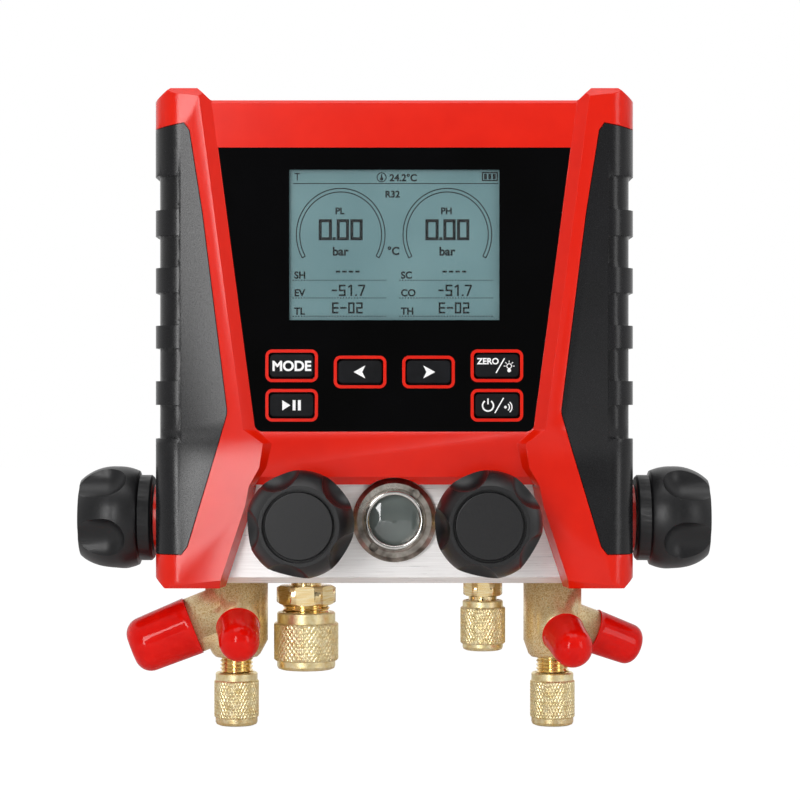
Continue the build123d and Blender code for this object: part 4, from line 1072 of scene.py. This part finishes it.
class GAUGE_OT_hook(bpy.types.Operator):
    """Hanging hook and its pin"""
    bl_idname = "gauge.hook"
    bl_label = "Hook"

    def execute(self, context):
        line = [(HOOK_HALF, HOOK_Y, HOOK_PIN_Z - (HOOK_PIN_Z - HOOK_LOOP_Z) * i / 8) for i in range(8)]
        line += [(HOOK_HALF * cos(turn), HOOK_Y, HOOK_LOOP_Z + HOOK_HALF * sin(turn))
                 for turn in map(radians, range(0, -181, -6))]
        line += [(-HOOK_HALF, HOOK_Y, HOOK_LOOP_Z + (HOOK_TIP_Z - HOOK_LOOP_Z) * i / 3) for i in range(1, 4)]
        barrel = turned([(1.55, -20.5), (3.7, -20.5), (4.0, -20.2), (4.0, 20.2), (3.7, 20.5), (1.55, 20.5)],
                        48, closed_loop=True)
        across = Matrix.Translation(at(0, HOOK_Y, HOOK_PIN_Z)) @ Matrix.Rotation(pi / 2, 4, "Y")
        barrel = ([across @ v for v in barrel[0]], barrel[1])
        turns = [radians(a) for a in range(15, 91, 15)]
        dome = [(0, WIRE_RADIUS)] + [(WIRE_RADIUS * sin(turn), WIRE_RADIUS * cos(turn)) for turn in turns]
        tip = turned(dome, 16)
        tip = ([at(-HOOK_HALF, HOOK_Y, HOOK_TIP_Z) + v for v in tip[0]], tip[1])
        settle(solid("hook_bent", [bent(line, WIRE_RADIUS), barrel, tip]), "hook")
        coat_nodes("hook_pin")
        return {"FINISHED"}


class GAUGE_OT_inside(bpy.types.Operator):
    """Circuit board, switches and battery cells"""
    bl_idname = "gauge.inside"
    bl_label = "Inside"

    def execute(self, context):
        coat_nodes("circuit_board", "key_switches", "battery_cells")
        return {"FINISHED"}


class GAUGE_OT_stage(bpy.types.Operator):
    """Floor, softboxes, surroundings and camera"""
    bl_idname = "gauge.stage"
    bl_label = "Stage"

    def execute(self, context):
        settings = context.scene.gauge_stage
        floor_z = CAD_BOX[0][2] - FLOOR_GAP
        corners = [Vector((x, y, floor_z)) for x, y in ((-3, -3), (3, -3), (3, 3), (-3, 3))]
        floor = solid("floor", [(corners, [(0, 1, 2, 3)])], outward=False)
        floor.data.materials.append(self.floor_paint(settings.backdrop))
        for name, (place, size, setting, share) in SOFTBOXES.items():
            self.softbox(name, place, size, share * getattr(settings, setting))
        self.surroundings(context.scene)
        camera = bpy.data.cameras.new("camera")
        camera.lens = CAMERA_LENS
        camera.sensor_width = CAMERA_SENSOR
        holder = linked("camera", camera)
        holder.location = at(*CAMERA_PLACE)
        holder.rotation_euler = (pi / 2, 0, 0)
        context.scene.camera = holder
        context.scene.view_settings.view_transform = "Standard"
        return {"FINISHED"}

    def softbox(self, name, place, size, power):
        """An area light that looks at the object."""
        lamp = bpy.data.lights.new(name, "AREA")
        lamp.shape = "RECTANGLE"
        lamp.size, lamp.size_y = size
        lamp.energy = power
        holder = linked(name, lamp)
        holder.location = place
        aim = Vector(SOFTBOX_AIM) - Vector(place)
        holder.rotation_euler = aim.to_track_quat("-Z", "Y").to_euler()

    def floor_paint(self, colour):
        """Matt white board: white to the camera, with the object's shadow left on it."""
        material = bpy.data.materials.new("Board matt white")
        material.use_nodes = True
        tree = material.node_tree
        tree.nodes.clear()
        matt = add_node(tree, "ShaderNodeBsdfDiffuse", {"Color": list(colour)})
        white = add_node(tree, "ShaderNodeEmission", {"Strength": FLOOR_GLOW})
        ray = add_node(tree, "ShaderNodeLightPath").outputs["Is Camera Ray"]
        share = maths(tree, "MULTIPLY", ray, FLOOR_GLOW_SHARE)
        mixed = add_node(tree, "ShaderNodeMixShader", {0: share, 1: matt.outputs[0], 2: white.outputs[0]})
        add_node(tree, "ShaderNodeOutputMaterial", {"Surface": mixed.outputs[0]})
        return material

    def surroundings(self, scene):
        """White to the camera, glass and metal, dim behind the camera, and a plain fill on all else."""
        world = bpy.data.worlds.new("studio")
        scene.world = world
        world.use_nodes = True
        tree = world.node_tree
        tree.nodes.clear()
        path = add_node(tree, "ShaderNodeLightPath")
        direction = add_node(tree, "ShaderNodeTexCoord").outputs["Generated"]
        y = add_node(tree, "ShaderNodeSeparateXYZ", {0: direction}).outputs[1]
        seen = add_node(tree, "ShaderNodeMapRange", {0: y, 1: -0.9, 2: 0.5, 3: 0.3, 4: 1.0}).outputs[0]
        fill = add_node(tree, "ShaderNodeBackground", {"Strength": WORLD_FILL})
        shiny = add_node(tree, "ShaderNodeBackground", {"Strength": seen})
        white = add_node(tree, "ShaderNodeBackground", {"Strength": 1.0})
        gloss = maths(tree, "MAXIMUM", path.outputs["Is Glossy Ray"], path.outputs["Is Transmission Ray"])
        first = add_node(tree, "ShaderNodeMixShader", {0: gloss, 1: fill.outputs[0], 2: shiny.outputs[0]})
        last = add_node(tree, "ShaderNodeMixShader", {0: path.outputs["Is Camera Ray"], 1: first.outputs[0],
                                                      2: white.outputs[0]})
        add_node(tree, "ShaderNodeOutputWorld", {"Surface": last.outputs[0]})
        for background in (fill, shiny, white):
            background.inputs["Color"].default_value = (1.0, 1.0, 1.0, 1.0)


OPERATORS = (GAUGE_OT_stage, GAUGE_OT_housing, GAUGE_OT_grips, GAUGE_OT_display, GAUGE_OT_keys,
             GAUGE_OT_manifold, GAUGE_OT_ports, GAUGE_OT_brass_caps, GAUGE_OT_dust_caps, GAUGE_OT_hook,
             GAUGE_OT_inside)


class GAUGE_PT_panel(bpy.types.Panel):
    """Lists the pieces and their settings"""
    bl_idname = "GAUGE_PT_panel"
    bl_label = "Manifold gauge"
    bl_space_type = "VIEW_3D"
    bl_region_type = "UI"
    bl_category = "Gauge"

    def draw(self, context):
        for group in (context.scene.gauge_sizes, context.scene.gauge_stage):
            for name in group.bl_rna.properties.keys():
                if name not in ("rna_type", "name"):
                    self.layout.prop(group, name)
        for operator in OPERATORS:
            self.layout.operator(operator.bl_idname)


CLASSES = (GaugeSizes, StageSettings, *OPERATORS, GAUGE_PT_panel)


def register():
    for item in CLASSES:
        bpy.utils.register_class(item)
    bpy.types.Scene.gauge_sizes = PointerProperty(type=GaugeSizes)
    bpy.types.Scene.gauge_stage = PointerProperty(type=StageSettings)


def unregister():
    del bpy.types.Scene.gauge_sizes
    del bpy.types.Scene.gauge_stage
    for item in reversed(CLASSES):
        bpy.utils.unregister_class(item)


def main():
    register()
    for operator in OPERATORS:
        group, name = operator.bl_idname.split(".")
        getattr(getattr(bpy.ops, group), name)()


if __name__ == "__main__":
    main()
